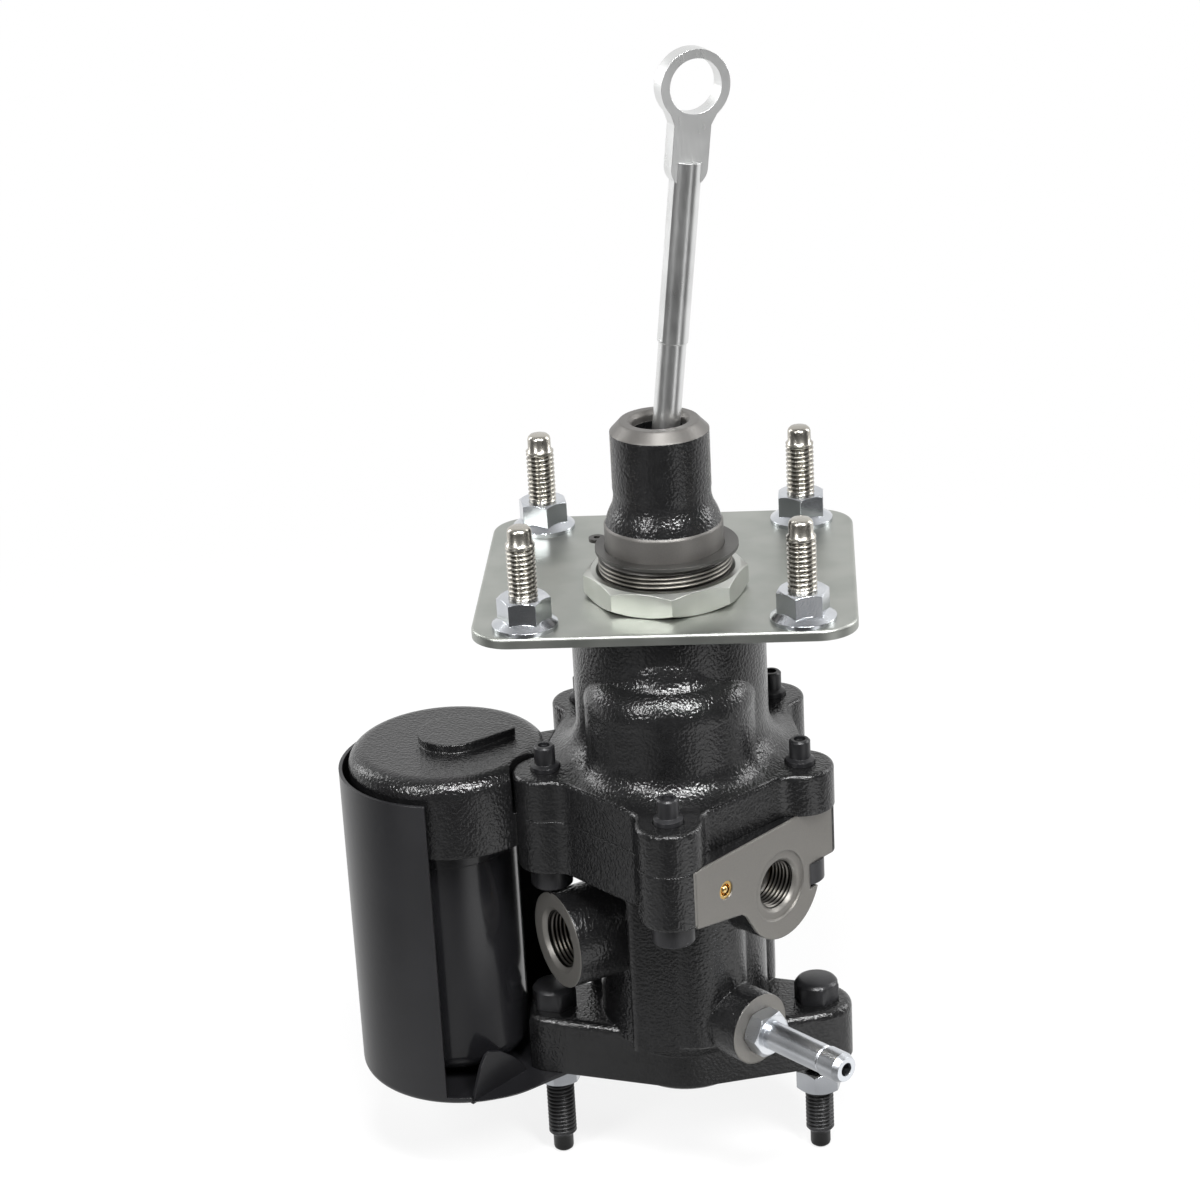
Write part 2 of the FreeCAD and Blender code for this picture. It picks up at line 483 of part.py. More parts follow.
def housing_rooms():
    """Everything that is bored, drilled or cut out of the housing."""
    parting = -size("parting")
    foot = -size("column_base")
    rim = -size("cap_base")
    seal_y = AXIS_Y - size("seal_offset")
    seal_low = size("seal_radius") - size("seal_half") - size("seat_gap")
    seal_high = size("seal_radius") + size("seal_half") + size("seat_gap")
    chamber_floor = -size("piston_top") + 6
    counterbore = size("counterbore")
    rooms = [cylinder(size("chamber_radius"), chamber_floor, parting + 1, 0, AXIS_Y),
             cylinder(size("piston_radius"), -size("face_depth + pilot_height") - 1, parting, 0, AXIS_Y),
             box(-LEVER_SLOT, LEVER_SLOT, SPOOL_Y + 7.5, AXIS_Y, chamber_floor, parting + 1),
             box(-LEVER_SLOT, LEVER_SLOT, SPOOL_Y - 7.5, SPOOL_Y + 8, chamber_floor + 4, parting + 1),
             cylinder(9, chamber_floor + 4, parting + 1, 0, SPOOL_Y),
             cylinder(size("spool_radius"), foot - 1, parting, 0, SPOOL_Y),
             cylinder(counterbore, foot - 1, -size("spool_plug_top"), 0, SPOOL_Y),
             cylinder(counterbore + 0.7, foot + 1.6, foot + 2.8, 0, SPOOL_Y),
             ring(seal_low, seal_high, parting - size("seal_depth") - 0.1, parting + 1, 0, seal_y)]
    for x, y in BOLTS:
        rooms.append(cylinder(BOLT_HOLE, -size("flange_base") - 1, parting + 1, x, y))
        rooms.append(cylinder(size("bolt_head_radius") + 0.25, -size("flange_base") - 9, -size("flange_base"), x, y))
    for x, y in EARS:
        rooms.append(cylinder(size("mc_stud_radius") + size("seat_gap"), -size("face_depth") - 5,
                              -size("face_depth") + size("ear_thick") + 5, x, y))
        rooms.append(cylinder(size("mc_head_radius") + 1.2, -size("face_depth") + size("ear_thick"),
                              -size("face_depth") + size("ear_thick") + 12, x, y))
    depth = size("port_depth")
    left = size("port_thread")
    right = size("pad_thread")
    thread = size("port_thread_depth")
    step = size("port_step")
    rooms += [at(LEFT_PORT, Part.makeCylinder(left, thread + 1, Vector(0, 0, -thread))),
              at(LEFT_PORT, Part.makeCylinder(left + 0.6, 1.2, Vector(0, 0, -thread - 1.2))),
              at(LEFT_PORT, Part.makeCylinder(left - step, depth, Vector(0, 0, -depth))),
              at(LEFT_PORT, Part.makeCone(left, left + 1.4, 1.5, Vector(0, 0, -1.4))),
              at(LEFT_PORT, Part.makeCylinder(3.5, depth, Vector(0, 0, -depth - 9))),
              at(PAD, Part.makeCylinder(right, thread + 1, Vector(0, 0, -thread))),
              at(PAD, Part.makeCylinder(right + 0.6, 1.2, Vector(0, 0, -thread - 1.2))),
              at(PAD, Part.makeCylinder(right - step, depth, Vector(0, 0, -depth))),
              at(PAD, Part.makeCylinder(size("pad_spot"), 2, Vector(0, 0, -0.7))),
              at(PAD, Part.makeCone(right, right + 1.2, 1.3, Vector(0, 0, -1.9))),
              at(PAD, Part.makeCylinder(3, depth, Vector(0, 0, -depth - 5))),
              at(PAD, Part.makeCylinder(size("plug_radius"), 9, PLUG_PLACE - Vector(0, 0, 8))),
              at(RETURN_PORT, Part.makeCylinder(size("return_tube"), 11, Vector(0, 0, -10))),
              at(RETURN_PORT, Part.makeCylinder(2.5, 12, Vector(0, 0, -16)))]
    rooms += [gallery(LEFT_PORT, -depth - 8, Vector(0, SPOOL_Y, -115)),
              gallery(PAD, -depth - 4, Vector(0, SPOOL_Y, -99)),
              gallery(RETURN_PORT, -15, Vector(0, SPOOL_Y, -134))]
    rooms += [cylinder(18, rim - 1, rim + 17, CAN[0], CAN[1]),
              Part.makeCylinder(2.5, size("can_x") - 28, Vector(CAN[0], CAN[1], rim + 7), Vector(1, -0.08, 0)),
              ring(size("can_bore") + 0.3, size("can_neck") - 0.3, rim - 1, rim + 1.7, CAN[0], CAN[1])]
    return rooms


def gallery(place, depth, end):
    """A drilling of small bore from the bottom of a port to the spool's bore."""
    start = place.multVec(Vector(0, 0, depth))
    return Part.makeCylinder(2, (end - start).Length, start, end - start)


def ring(inner, outer, low, high, x=0.0, y=0.0):
    """A plain ring between two heights."""
    return cylinder(outer, low, high, x, y).cut(cylinder(inner, low - 1, high + 1, x, y))


def coil(mean, wire, low, high, turns, x=0.0, y=0.0):
    """A compression spring: close end turns, even pitch between them, wire of round section."""
    close = wire * 1.04
    pitch = (high - low - wire - 2 * close) / (turns - 2)
    steps = 16
    points = []
    for step in range(turns * steps + 1):
        turn = step / steps
        rise = close * min(turn, 1) + pitch * min(max(turn - 1, 0), turns - 2) + close * max(turn - turns + 1, 0)
        angle = 2 * math.pi * turn
        points.append(Vector(x + mean * math.cos(angle), y + mean * math.sin(angle), low + wire / 2 + rise))
    path = Part.BSplineCurve()
    path.interpolate(points)
    spine = Part.Wire(path.toShape())
    corners = [Vector(wire / 2 * math.cos(math.pi * k / 4), 0, wire / 2 * math.sin(math.pi * k / 4))
               for k in range(9)]
    section = Part.makePolygon([points[0] + corner for corner in corners])
    return spine.makePipeShell([section], True, True)


def make_plate():
    """Firewall plate with round corners, a rolled edge, the snout's hole and the stud holes."""
    width = size("plate_width") / 2
    depth = size("plate_depth") / 2
    plate = box(-width, width, -depth, depth, -size("plate_thick"), 0)
    plate = softened(plate, size("plate_corner"), lambda edge: edge.BoundBox.ZLength > 1)
    plate = softened(plate, 1.1, lambda edge: edge.BoundBox.ZMin > -0.01)
    holes = [cylinder(size("stud_neck") + size("seat_gap"), -10, 10, x, y) for x, y in STUDS]
    holes.append(cylinder(size("snout_thread") + size("seat_gap"), -10, 10, 0, AXIS_Y))
    return plate.cut(holes)


def make_studs():
    """Four firewall studs: domed head, neck in the plate, slim core inside the nut, free thread, plain lead."""
    under = -size("plate_thick")
    neck = size("stud_neck")
    core = size("stud_radius - thread_core")
    free = size("flange_nut_height") + 0.8
    solids = []
    for x, y in STUDS:
        head = size("stud_head_radius")
        solids.append(spun([(0, under - size("stud_head")), (head * 0.55, under - size("stud_head")),
                            (head, under - 0.9, 0.12), (head, under), (neck, under), (neck, -0.2), (core, -0.2),
                            (core, free), (size("stud_radius"), free),
                            (size("stud_radius"), size("stud_rise") - size("stud_dog") - 0.8),
                            (size("stud_dog_radius"), size("stud_rise") - size("stud_dog")),
                            (size("stud_dog_radius"), size("stud_rise") - 1.4),
                            (size("stud_dog_radius") - 1.8, size("stud_rise"), 0.2), (0, size("stud_rise"))], x, y))
    return Part.makeCompound(solids)


def make_flange_nuts():
    """Four flanged hexagon nuts on the firewall studs."""
    solids = []
    for index, (x, y) in enumerate(STUDS):
        radius = size("flange_nut_radius")
        flange = spun([(0, 0), (radius, 0), (radius, 1.3), (size("flange_nut_across") / 2 - 0.4, 3.6), (0, 3.6)],
                      x, y)
        prism = hexagon(size("flange_nut_across"), 0.5, size("flange_nut_height"), x, y, 6, 0.25 * index)
        bore = cylinder(size("stud_radius - thread_core + seat_gap"), -1, size("flange_nut_height") + 1, x, y)
        solids.append(flange.fuse(prism).cut(bore).removeSplitter())
    return Part.makeCompound(solids)


def make_collar_nut():
    """Octagonal nut that clamps the plate on the cover's shoulder."""
    height = size("collar_height")
    nut = hexagon(size("collar_across"), 0, height, 0, AXIS_Y, 8, math.radians(-84))
    bore = cylinder(size("snout_thread") + size("seat_gap"), -1, height + 1, 0, AXIS_Y)
    mouth = Part.makeCone(size("snout_thread"), size("snout_thread") + 1.6, 1.6, Vector(0, AXIS_Y, height - 1.5))
    return nut.cut([bore, mouth])


def make_clip():
    """Open retaining clip above the nut, with an eyed ear at each end."""
    low = size("band_base") - 1.25
    high = low + size("clip_thick")
    inner = size("band_radius") + size("seat_gap")
    outer = cylinder(size("clip_radius"), low, high, 0.7, AXIS_Y)
    clip = outer.cut(cylinder(inner, low - 1, high + 1, 0, AXIS_Y))
    gap = box(-40, 0, -3.2, 3.2, low - 1, high + 1)
    gap.rotate(Vector(0, 0, 0), Vector(0, 0, 1), -30)
    gap.translate(Vector(0, AXIS_Y, 0))
    clip = clip.cut(gap)
    for angle in (138, 162):
        turn = math.radians(angle)
        x = 23.6 * math.cos(turn)
        y = AXIS_Y + 23.6 * math.sin(turn)
        ear = cylinder(2.7, low, high, x, y).cut(cylinder(inner, low - 1, high + 1, 0, AXIS_Y))
        clip = clip.fuse(ear).cut(cylinder(1.1, low - 1, high + 1, x, y))
    return clip.removeSplitter()


def make_cover_bolts():
    """Five bolts that enter from below; their plain leads stand above the cover's lobes."""
    solids = []
    tip = -size("bolt_tip")
    under = -size("flange_base")
    lead = size("bolt_radius") - 1.3
    for x, y in BOLTS:
        bolt = spun([(0, under - size("bolt_head")), (size("bolt_head_radius") - 0.6, under - size("bolt_head")),
                     (size("bolt_head_radius"), under - size("bolt_head") + 0.6), (size("bolt_head_radius"), under),
                     (size("bolt_radius"), under), (size("bolt_radius"), tip - size("bolt_lead")),
                     (lead, tip - size("bolt_lead") + 0.7), (lead, tip - 0.6), (lead - 0.6, tip), (0, tip)], x, y)
        socket = hexagon(6, under - size("bolt_head") - 1, under - size("bolt_head") + 3.2, x, y)
        dimple = cylinder(2, tip - 1.2, tip + 1, x, y)
        solids.append(bolt.cut([socket, dimple]))
    return Part.makeCompound(solids)


def make_mc_studs():
    """Two long bolts that enter the ears from above and stand out as studs below."""
    solids = []
    seat = -size("face_depth") + size("ear_thick")
    tip = -size("mc_stud_tip")
    radius = size("mc_stud_radius")
    thread = size("mc_thread")
    core = size("mc_thread - thread_core")
    for (x, y), top in zip(EARS, NUT_TOPS):
        foot = top - size("mc_nut") - 1
        shank = spun([(0, tip), (thread - 2.1, tip), (thread - 1.4, tip + 0.8), (thread - 1.4, tip + 6),
                      (thread, tip + 7.2), (thread, foot), (core, foot), (core, top + 0.4), (radius, top + 0.4),
                      (radius, seat + 1), (0, seat + 1)], x, y)
        head = hexagon(size("mc_head_radius") * 1.72, seat, seat + size("mc_head") - 1.6, x, y, 6, 0.3)
        wide = size("mc_head_radius")
        top = seat + size("mc_head")
        dome = spun([(0, seat + 2), (wide, seat + 2.6), (wide, top - 1.2), (wide - 1.2, top), (0, top)], x, y)
        solids.append(shank.fuse([head, dome]).removeSplitter())
    return Part.makeCompound(solids)


def make_mc_nuts():
    """Two nuts on those studs: the left one clamps the heat shield, the right one is slack."""
    solids = []
    for (x, y), top in zip(EARS, NUT_TOPS):
        nut = hexagon(size("mc_nut_across"), top - size("mc_nut"), top, x, y, 6, 0.35)
        solids.append(nut.cut(cylinder(size("mc_thread - thread_core + seat_gap"), top - 20, top + 1, x, y)))
    return Part.makeCompound(solids)


def make_return_fitting():
    """Return fitting: spigot, hexagon and beaded tube, bored right through."""
    tube = size("return_tube")
    length = size("return_length")
    profile = spun([(0, -9), (tube - 0.1, -9), (tube - 0.1, 0), (tube, 0), (tube, length - 9.6), (tube - 0.35, length - 9.2), (tube - 0.35, length - 8.6), (tube + 0.35, length - 8.2),
                    (tube + 0.35, length - 2), (tube - 0.6, length), (0, length)])
    across = hexagon(14, 0, 6)
    bore = cylinder(size("return_bore"), -10, length + 1)
    groove = ring(tube - 1.45, tube + 1, -7.3, -5.3)
    return at(RETURN_PORT, profile.fuse(across).cut([bore, groove]).removeSplitter())


def make_heat_shield():
    """Heat shield: wrapped wall, floor with a rolled foot, tab on the left stud and a turned-up stiffener."""
    outer = size("shield_radius")
    sheet_thick = size("shield_sheet")
    inner = outer - sheet_thick
    floor_low = -size("face_depth") - sheet_thick
    cup = spun([(0, floor_low), (outer - 3, floor_low), (outer, floor_low + 3, 0.207), (outer, -size("shield_top")),
                (inner, -size("shield_top")), (inner, floor_low + 3), (inner - 1.8, floor_low + sheet_thick, -0.207),
                (0, floor_low + sheet_thick)], CAP[0], CAP[1])
    opening = Part.makeBox(90, 90, 200, Vector(0, -90, floor_low + 3.1))
    opening = opening.fuse(Part.makeBox(90, 24, 200, Vector(0, 0, floor_low + 3.1)))
    opening = opening.fuse(Part.makeBox(90, 60, 200, Vector(0, 0, -size("cap_base") - 1)))
    turn = Rotation(Vector(0, 0, 1), -7)
    opening.Placement = Placement(Vector(CAP[0], CAP[1], 0), turn).multiply(opening.Placement)
    step = box(CAP[0] + 4, 0, CAP[1] - 60, CAP[1] + 20, floor_low + 1.21, floor_low + 3.2)
    tab = wrapped([(CAP[0] + 4, CAP[1] - 4, 30.0), (EARS[0][0], AXIS_Y, 11.4)])
    tab = upright(tab, floor_low, floor_low + sheet_thick)
    rise = [(0, 0), (1.5, 4), (5, 12), (7.5, 15.3), (9.5, 16), (14.5, 14), (20, 9.6), (24.5, 4.8), (26.2, 1.2),
            (26.2, 0)]
    start = Vector(CAP[0] + 4.3, CAP[1] - 36.4, floor_low + 0.3)
    along = Vector(EARS[0][0] - 10.4, AXIS_Y - 10.6, floor_low + 0.3) - start
    along.normalize()
    corners = [start + along * reach + Vector(0, 0, height) for reach, height in rise]
    normal = Vector(-along.y, along.x, 0)
    stiffener = Part.Face(Part.makePolygon(corners + corners[:1])).extrude(normal * sheet_thick)
    under_ear = box(-size("ear_end") - 0.6, 0, -31, -3.5, -size("face_depth"), -size("face_depth") + 22)
    shield = cup.cut([opening, step]).fuse([tab, stiffener]).cut(under_ear)
    hole = cylinder(size("mc_stud_radius") + 0.3, floor_low - 5, floor_low + 9, *EARS[0])
    return shield.cut(hole).removeSplitter()


def make_pedal_rod():
    """Pedal rod: ball, round shank, flattened upper shank, forged tongue and eye, made along its own axis."""
    ball = size("ball_radius")
    neck = 4.2
    step = size("rod_step")
    tongue = size("rod_tongue")
    length = size("rod_length")
    shank = spun([(0, 0), (neck, 0), (neck, 12), (size("rod_radius"), 14), (size("rod_radius"), step),
                  (size("rod_upper"), step + 0.4), (size("rod_upper"), tongue + 6), (0, tongue + 6)])
    flat = size("rod_upper") - 0.45
    flats = [box(flat, 9, -9, 9, step + 1, tongue), box(-9, -flat, -9, 9, step + 1, tongue)]
    shank = shank.cut(flats).fuse(Part.makeSphere(ball))
    half = size("eye_thick") / 2
    width = 6.2
    blade = [Vector(-width, -half, tongue + 4), Vector(-width, -half, length - 12), Vector(-8.6, -half, length - 7),
             Vector(8.6, -half, length - 7), Vector(width, -half, length - 12), Vector(width, -half, tongue + 4)]
    edges = [Part.makeLine(blade[index], blade[index + 1]) for index in range(5)]
    edges.append(Part.Arc(blade[5], Vector(0, -half, tongue - 2), blade[0]).toShape())
    tongue_blade = Part.Face(Part.Wire(edges)).extrude(Vector(0, size("eye_thick"), 0))
    eye = Part.makeCylinder(size("eye_radius"), size("eye_thick"), Vector(0, -half, length), Vector(0, 1, 0))
    rod = shank.fuse([tongue_blade, eye]).removeSplitter()
    hole = Part.makeCylinder(size("eye_bore"), 20, Vector(0, -10, length), Vector(0, 1, 0))
    return rod.cut(hole)


def rod_place():
    """Place of the pedal rod: its ball in the seat, leaning as it rests."""
    side = math.tan(math.radians(size("rod_lean_side")))
    back = math.tan(math.radians(size("rod_lean_back")))
    lean = Rotation(Vector(0, 0, 1), Vector(side, back, 1))
    turn = Rotation(Vector(0, 0, 1), size("eye_turn"))
    return Placement(Vector(0, AXIS_Y, size("ball_level")), lean.multiply(turn))


def make_rod_seat():
    """Two-sided ball seat: a ball-shaped bush, open above and below."""
    outer = size("ball_radius") + 1.5
    seat = Part.makeSphere(outer).cut(Part.makeSphere(size("ball_radius") + size("run_gap")))
    return seat.common(cylinder(20, -4.4, 3.9))


def make_lever():
    """Valve lever: eyed at the piston's bracket, necked and rounded at the spool."""
    half = size("lever_thick") / 2
    drop = size("lever_level") - size("lever_pin")
    length = math.hypot(size("spool_offset"), drop)
    profile = [(0, -3), (0, 3), (-length + 12, 3), (-length + 9, 1.1), (-length, 1.1), (-length, -1.1),
               (-length + 9, -1.1), (-length + 12, -3), (0, -3)]
    bar = Part.Face(Part.makePolygon([Vector(-half, y, z) for y, z in profile])).extrude(Vector(2 * half, 0, 0))
    along = Vector(1, 0, 0)
    boss = Part.makeCylinder(5, 2 * half, Vector(-half, 0, 0), along)
    tip = Part.makeCylinder(3.9, 2 * half, Vector(-half, -length, 0), along)
    eye = Part.makeCylinder(size("lever_pin_radius") + size("run_gap"), 20, Vector(-10, 0, 0), along)
    lever = bar.fuse([boss, tip]).removeSplitter().cut(eye)
    lever.rotate(Vector(0, 0, 0), along, math.degrees(math.asin(drop / length)))
    lever.translate(Vector(0, AXIS_Y, -size("lever_pin")))
    return lever


def make_piston():
    """Power piston with a spring cup below and a slotted lever bracket above."""
    crown = -size("piston_top")
    foot = crown - size("piston_length")
    radius = size("piston_radius") - size("run_gap")
    bracket_top = -size("lever_pin") + 8
    body = spun([(0, crown), (9, crown), (9, bracket_top), (0, bracket_top)], 0, AXIS_Y)
    cup = size("piston_cup")
    cup_roof = foot + size("piston_cup_depth")
    skirt = spun([(0, crown + 0.01), (radius - 1, crown), (radius, crown - 1), (radius, foot), (cup, foot),
                  (cup, cup_roof), (0, cup_roof)], 0, AXIS_Y)
    slot = box(-size("lever_thick") / 2 - 0.3, size("lever_thick") / 2 + 0.3, AXIS_Y - 12, AXIS_Y + 12,
               -size("lever_pin") - 15, bracket_top + 1)
    pin = Part.makeCylinder(size("lever_pin_radius"), 40, Vector(-20, AXIS_Y, -size("lever_pin")), Vector(1, 0, 0))
    groove = ring(radius - 2.9, radius + 1, crown - 7, crown - 3, 0, AXIS_Y)
    return body.fuse(skirt).cut([slot, pin, groove]).removeSplitter()


def make_spool():
    """Spool valve: three lands, a stem and a windowed yoke that takes the lever's tip."""
    radius = size("spool_radius") - size("run_gap")
    top = -size("spool_top")
    foot = top - size("spool_length")
    level = -size("lever_level")
    stem = radius - 1.8
    spool = spun([(0, foot), (radius, foot), (radius, foot + 10), (stem, foot + 11), (stem, foot + 15),
                  (radius, foot + 16), (radius, foot + 26), (stem, foot + 27), (stem, foot + 31),
                  (radius, foot + 32), (radius, top), (3, top), (3, level - 7), (5.4, level - 7),
                  (5.4, level + 7.5), (0, level + 7.5)], 0, SPOOL_Y)
    window = box(-size("lever_thick") / 2 - 0.3, size("lever_thick") / 2 + 0.3, SPOOL_Y - 9, SPOOL_Y + 9,
                 level - 4.7, level + 4.7)
    bore = cylinder(2, foot - 1, foot + 8, 0, SPOOL_Y)
    return spool.cut([window, bore])


def make_plug():
    """Small brass gallery plug with a round recess, in the right pad."""
    plug = Part.makeCylinder(size("plug_radius") - 0.02, 6.4, PLUG_PLACE - Vector(0, 0, 6.8))
    recess = Part.makeCylinder(2.1, 3, PLUG_PLACE - Vector(0, 0, 3))
    return at(PAD, plug.cut(recess))


def make_seat(radius, hole):
    """Brass flare seat at the bottom of a threaded port."""
    return spun([(hole, 0), (radius, 0), (radius, 2.5), (hole + 1.2, 5.4), (hole, 5.4)])


keep("cover_casting", make_cover())
keep("housing_casting", make_housing())
keep("mounting_plate", make_plate())
keep("firewall_studs", make_studs())
keep("firewall_nuts", make_flange_nuts())
keep("mounting_nut", make_collar_nut())
keep("retaining_clip", make_clip())
keep("cover_bolts", make_cover_bolts())
keep("master_cylinder_studs", make_mc_studs())
keep("master_cylinder_nuts", make_mc_nuts())
keep("return_fitting", make_return_fitting())
keep("heat_shield", make_heat_shield())
keep("gallery_plug", make_plug())
keep("valve_lever", make_lever())
keep("power_piston", make_piston())
keep("spool_valve", make_spool())

rod = keep("pedal_rod", make_pedal_rod())
rod.Placement = rod_place()
seat = keep("rod_seat", make_rod_seat())
seat.Placement = rod_place()

pump_seat = keep("pump_port_seat", make_seat(size("port_thread - port_step") - 0.1, 3.5))
pump_seat.Placement = LEFT_PORT.multiply(Placement(Vector(0, 0, -size("port_depth")), Rotation()))
gear_seat = keep("gear_port_seat", make_seat(size("pad_thread - port_step") - 0.1, 3))
gear_seat.Placement = PAD.multiply(Placement(Vector(0, 0, -size("port_depth")), Rotation()))

cup_floor = -size("piston_top + piston_length - piston_cup_depth")
keep("piston_return_spring", coil(9.6, 2.2, -size("face_depth + spring_drop"), cup_floor, 7, 0, AXIS_Y))
keep("spool_spring", coil(3.8, 1.0, -size("spool_plug_top"), -size("spool_top + spool_length"), 5, 0, SPOOL_Y))

gallery_ball = doc.addObject("Part::Sphere", "gallery_ball")
gallery_ball.Label = "gallery_ball"
gallery_ball.Radius = 1.55
gallery_ball.Placement.Base = PAD.multVec(PLUG_PLACE - Vector(0, 0, 1.44))

lever_pin = doc.addObject("Part::Cylinder", "lever_pin")
lever_pin.Label = "lever_pin"
lever_pin.setExpression("Radius", bound("lever_pin_radius - 0.01"))
lever_pin.Height = 17
lever_pin.Placement = Placement(Vector(-8.5, 0, 0), Rotation(Vector(0, 1, 0), 90))
lever_pin.setExpression("Placement.Base.y", bound("-axis_setback"))
lever_pin.setExpression("Placement.Base.z", bound("-lever_pin"))

MAIN = {"y": "-axis_setback"}
VALVE = {"y": "-axis_setback - spool_offset"}
TANK = {"x": "-can_x", "y": "-can_setback"}

turned("cover_seal",
       [("seal_radius - seal_half", "-parting - 0.5"), ("seal_radius - seal_half + 0.5", "-parting"),
        ("seal_radius + seal_half - 0.5", "-parting"), ("seal_radius + seal_half", "-parting - 0.5"),
        ("seal_radius + seal_half", "-parting - seal_depth + 0.5"),
        ("seal_radius + seal_half - 0.5", "-parting - seal_depth"),
        ("seal_radius - seal_half + 0.5", "-parting - seal_depth"),
        ("seal_radius - seal_half", "-parting - seal_depth + 0.5")], y="-axis_setback - seal_offset")

turned("input_seal",
       [("6 + run_gap / 2", "-chamber_top + 5.4"), ("9.9", "-chamber_top + 5.4"), ("9.9", "-chamber_top + 0.4"),
        ("8.6", "-chamber_top + 0.4"), ("8.1", "-chamber_top + 2.4"), ("7.4", "-chamber_top + 0.4"),
        ("6 + run_gap / 2", "-chamber_top + 0.4")], **MAIN)

turned("piston_seal",
       [("piston_radius - 2.9", "-piston_top - 3.1"), ("piston_radius - 0.03", "-piston_top - 3.1"),
        ("piston_radius - 0.03", "-piston_top - 6.9"), ("piston_radius - 2.9", "-piston_top - 6.9")], **MAIN)

turned("spring_retainer",
       [("output_radius + 1.2", "-face_depth - spring_drop"), ("piston_radius - 0.03", "-face_depth - spring_drop"),
        ("piston_radius - 0.03", "-face_depth - spring_drop - retainer_thick"),
        ("output_radius + 1.2", "-face_depth - spring_drop - retainer_thick")], **MAIN)

turned("output_rod",
       [("0", "-piston_top - piston_length + piston_cup_depth"),
        ("7.5", "-piston_top - piston_length + piston_cup_depth"),
        ("7.5", "-piston_top - piston_length + piston_cup_depth - 3"),
        ("output_radius", "-piston_top - piston_length + piston_cup_depth - 5"),
        ("output_radius", "-face_depth + output_inset + 2.2"),
        ("output_radius - 0.8", "-face_depth + output_inset + 0.7"),
        ("output_radius - 2.6", "-face_depth + output_inset"), ("0", "-face_depth + output_inset")], **MAIN)

turned("spool_plug",
       [("0", "-spool_plug_top"), ("counterbore - 0.05", "-spool_plug_top"),
        ("counterbore - 0.05", "-spool_plug_top - 1.3"), ("counterbore - 1.6", "-spool_plug_top - 1.3"),
        ("counterbore - 1.6", "-spool_plug_top - 3.3"), ("counterbore - 0.05", "-spool_plug_top - 3.3"),
        ("counterbore - 0.05", "-spool_plug_top - spool_plug_length"), ("0", "-spool_plug_top - spool_plug_length")],
       **VALVE)

turned("spool_plug_seal",
       [("counterbore - 1.55", "-spool_plug_top - 1.8"), ("counterbore - 1.2", "-spool_plug_top - 1.4"),
        ("counterbore - 0.4", "-spool_plug_top - 1.4"), ("counterbore - 0.03", "-spool_plug_top - 1.8"),
        ("counterbore - 0.03", "-spool_plug_top - 2.8"), ("counterbore - 0.4", "-spool_plug_top - 3.2"),
        ("counterbore - 1.2", "-spool_plug_top - 3.2"), ("counterbore - 1.55", "-spool_plug_top - 2.8")], **VALVE)

turned("spool_plug_clip",
       [("counterbore - 1.4", "-column_base + 1.7"), ("counterbore + 0.6", "-column_base + 1.7"),
        ("counterbore + 0.6", "-column_base + 2.7"), ("counterbore - 1.4", "-column_base + 2.7")], **VALVE)

turned("accumulator_ring",
       [("can_neck + 0.05", "-cap_base"), ("can_radius + 0.5", "-cap_base"),
        ("can_radius + 1", "-cap_base - 0.5"), ("can_radius + 1", "-cap_base - can_ring + 0.5"),
        ("can_radius + 0.5", "-cap_base - can_ring"), ("can_neck + 0.05", "-cap_base - can_ring")], **TANK)

turned("accumulator_seal",
       [("can_bore + 0.35", "-cap_base + 0.3"), ("can_bore + 0.65", "-cap_base"), ("can_neck - 0.65", "-cap_base"),
        ("can_neck - 0.35", "-cap_base + 0.3"), ("can_neck - 0.35", "-cap_base + 1.35"),
        ("can_neck - 0.65", "-cap_base + 1.65"), ("can_bore + 0.65", "-cap_base + 1.65"),
        ("can_bore + 0.35", "-cap_base + 1.35")], **TANK)

turned("accumulator_piston",
       [("0", "-accumulator_piston_top"), ("can_bore - 1.2", "-accumulator_piston_top"),
        ("can_bore - 0.05", "-accumulator_piston_top - 1.2"), ("can_bore - 0.05", "-accumulator_piston_top - 4"),
        ("can_bore - 3", "-accumulator_piston_top - 4"), ("can_bore - 3", "-accumulator_piston_top - 8"),
        ("can_bore - 0.05", "-accumulator_piston_top - 8"),
        ("can_bore - 0.05", "-accumulator_piston_top - accumulator_piston_length"),
        ("can_bore - 4.5", "-accumulator_piston_top - accumulator_piston_length"),
        ("can_bore - 6", "-accumulator_piston_top - 11"), ("0", "-accumulator_piston_top - 9")], **TANK)

turned("accumulator_piston_seal",
       [("can_bore - 2.9", "-accumulator_piston_top - 4.1"), ("can_bore - 0.03", "-accumulator_piston_top - 4.1"),
        ("can_bore - 0.03", "-accumulator_piston_top - 7.9"), ("can_bore - 2.9", "-accumulator_piston_top - 7.9")],
       **TANK)

turned("gas_plug",
       [("0", "-face_depth + can_lift + can_floor - 0.5"),
        ("gas_plug_radius", "-face_depth + can_lift + can_floor - 0.5"),
        ("gas_plug_radius", "-face_depth + can_lift"), ("gas_plug_radius + 2.4", "-face_depth + can_lift"),
        ("gas_plug_radius + 2.4", "-face_depth + can_lift - 2.4"),
        ("gas_plug_radius + 1.4", "-face_depth + can_lift - 3.4"), ("0", "-face_depth + can_lift - 3.4")], **TANK)

fitting_seal = keep("return_fitting_seal", ring(size("return_tube") - 1.4, size("return_tube") - 0.03, -7.2, -5.4))
fitting_seal.Placement = RETURN_PORT

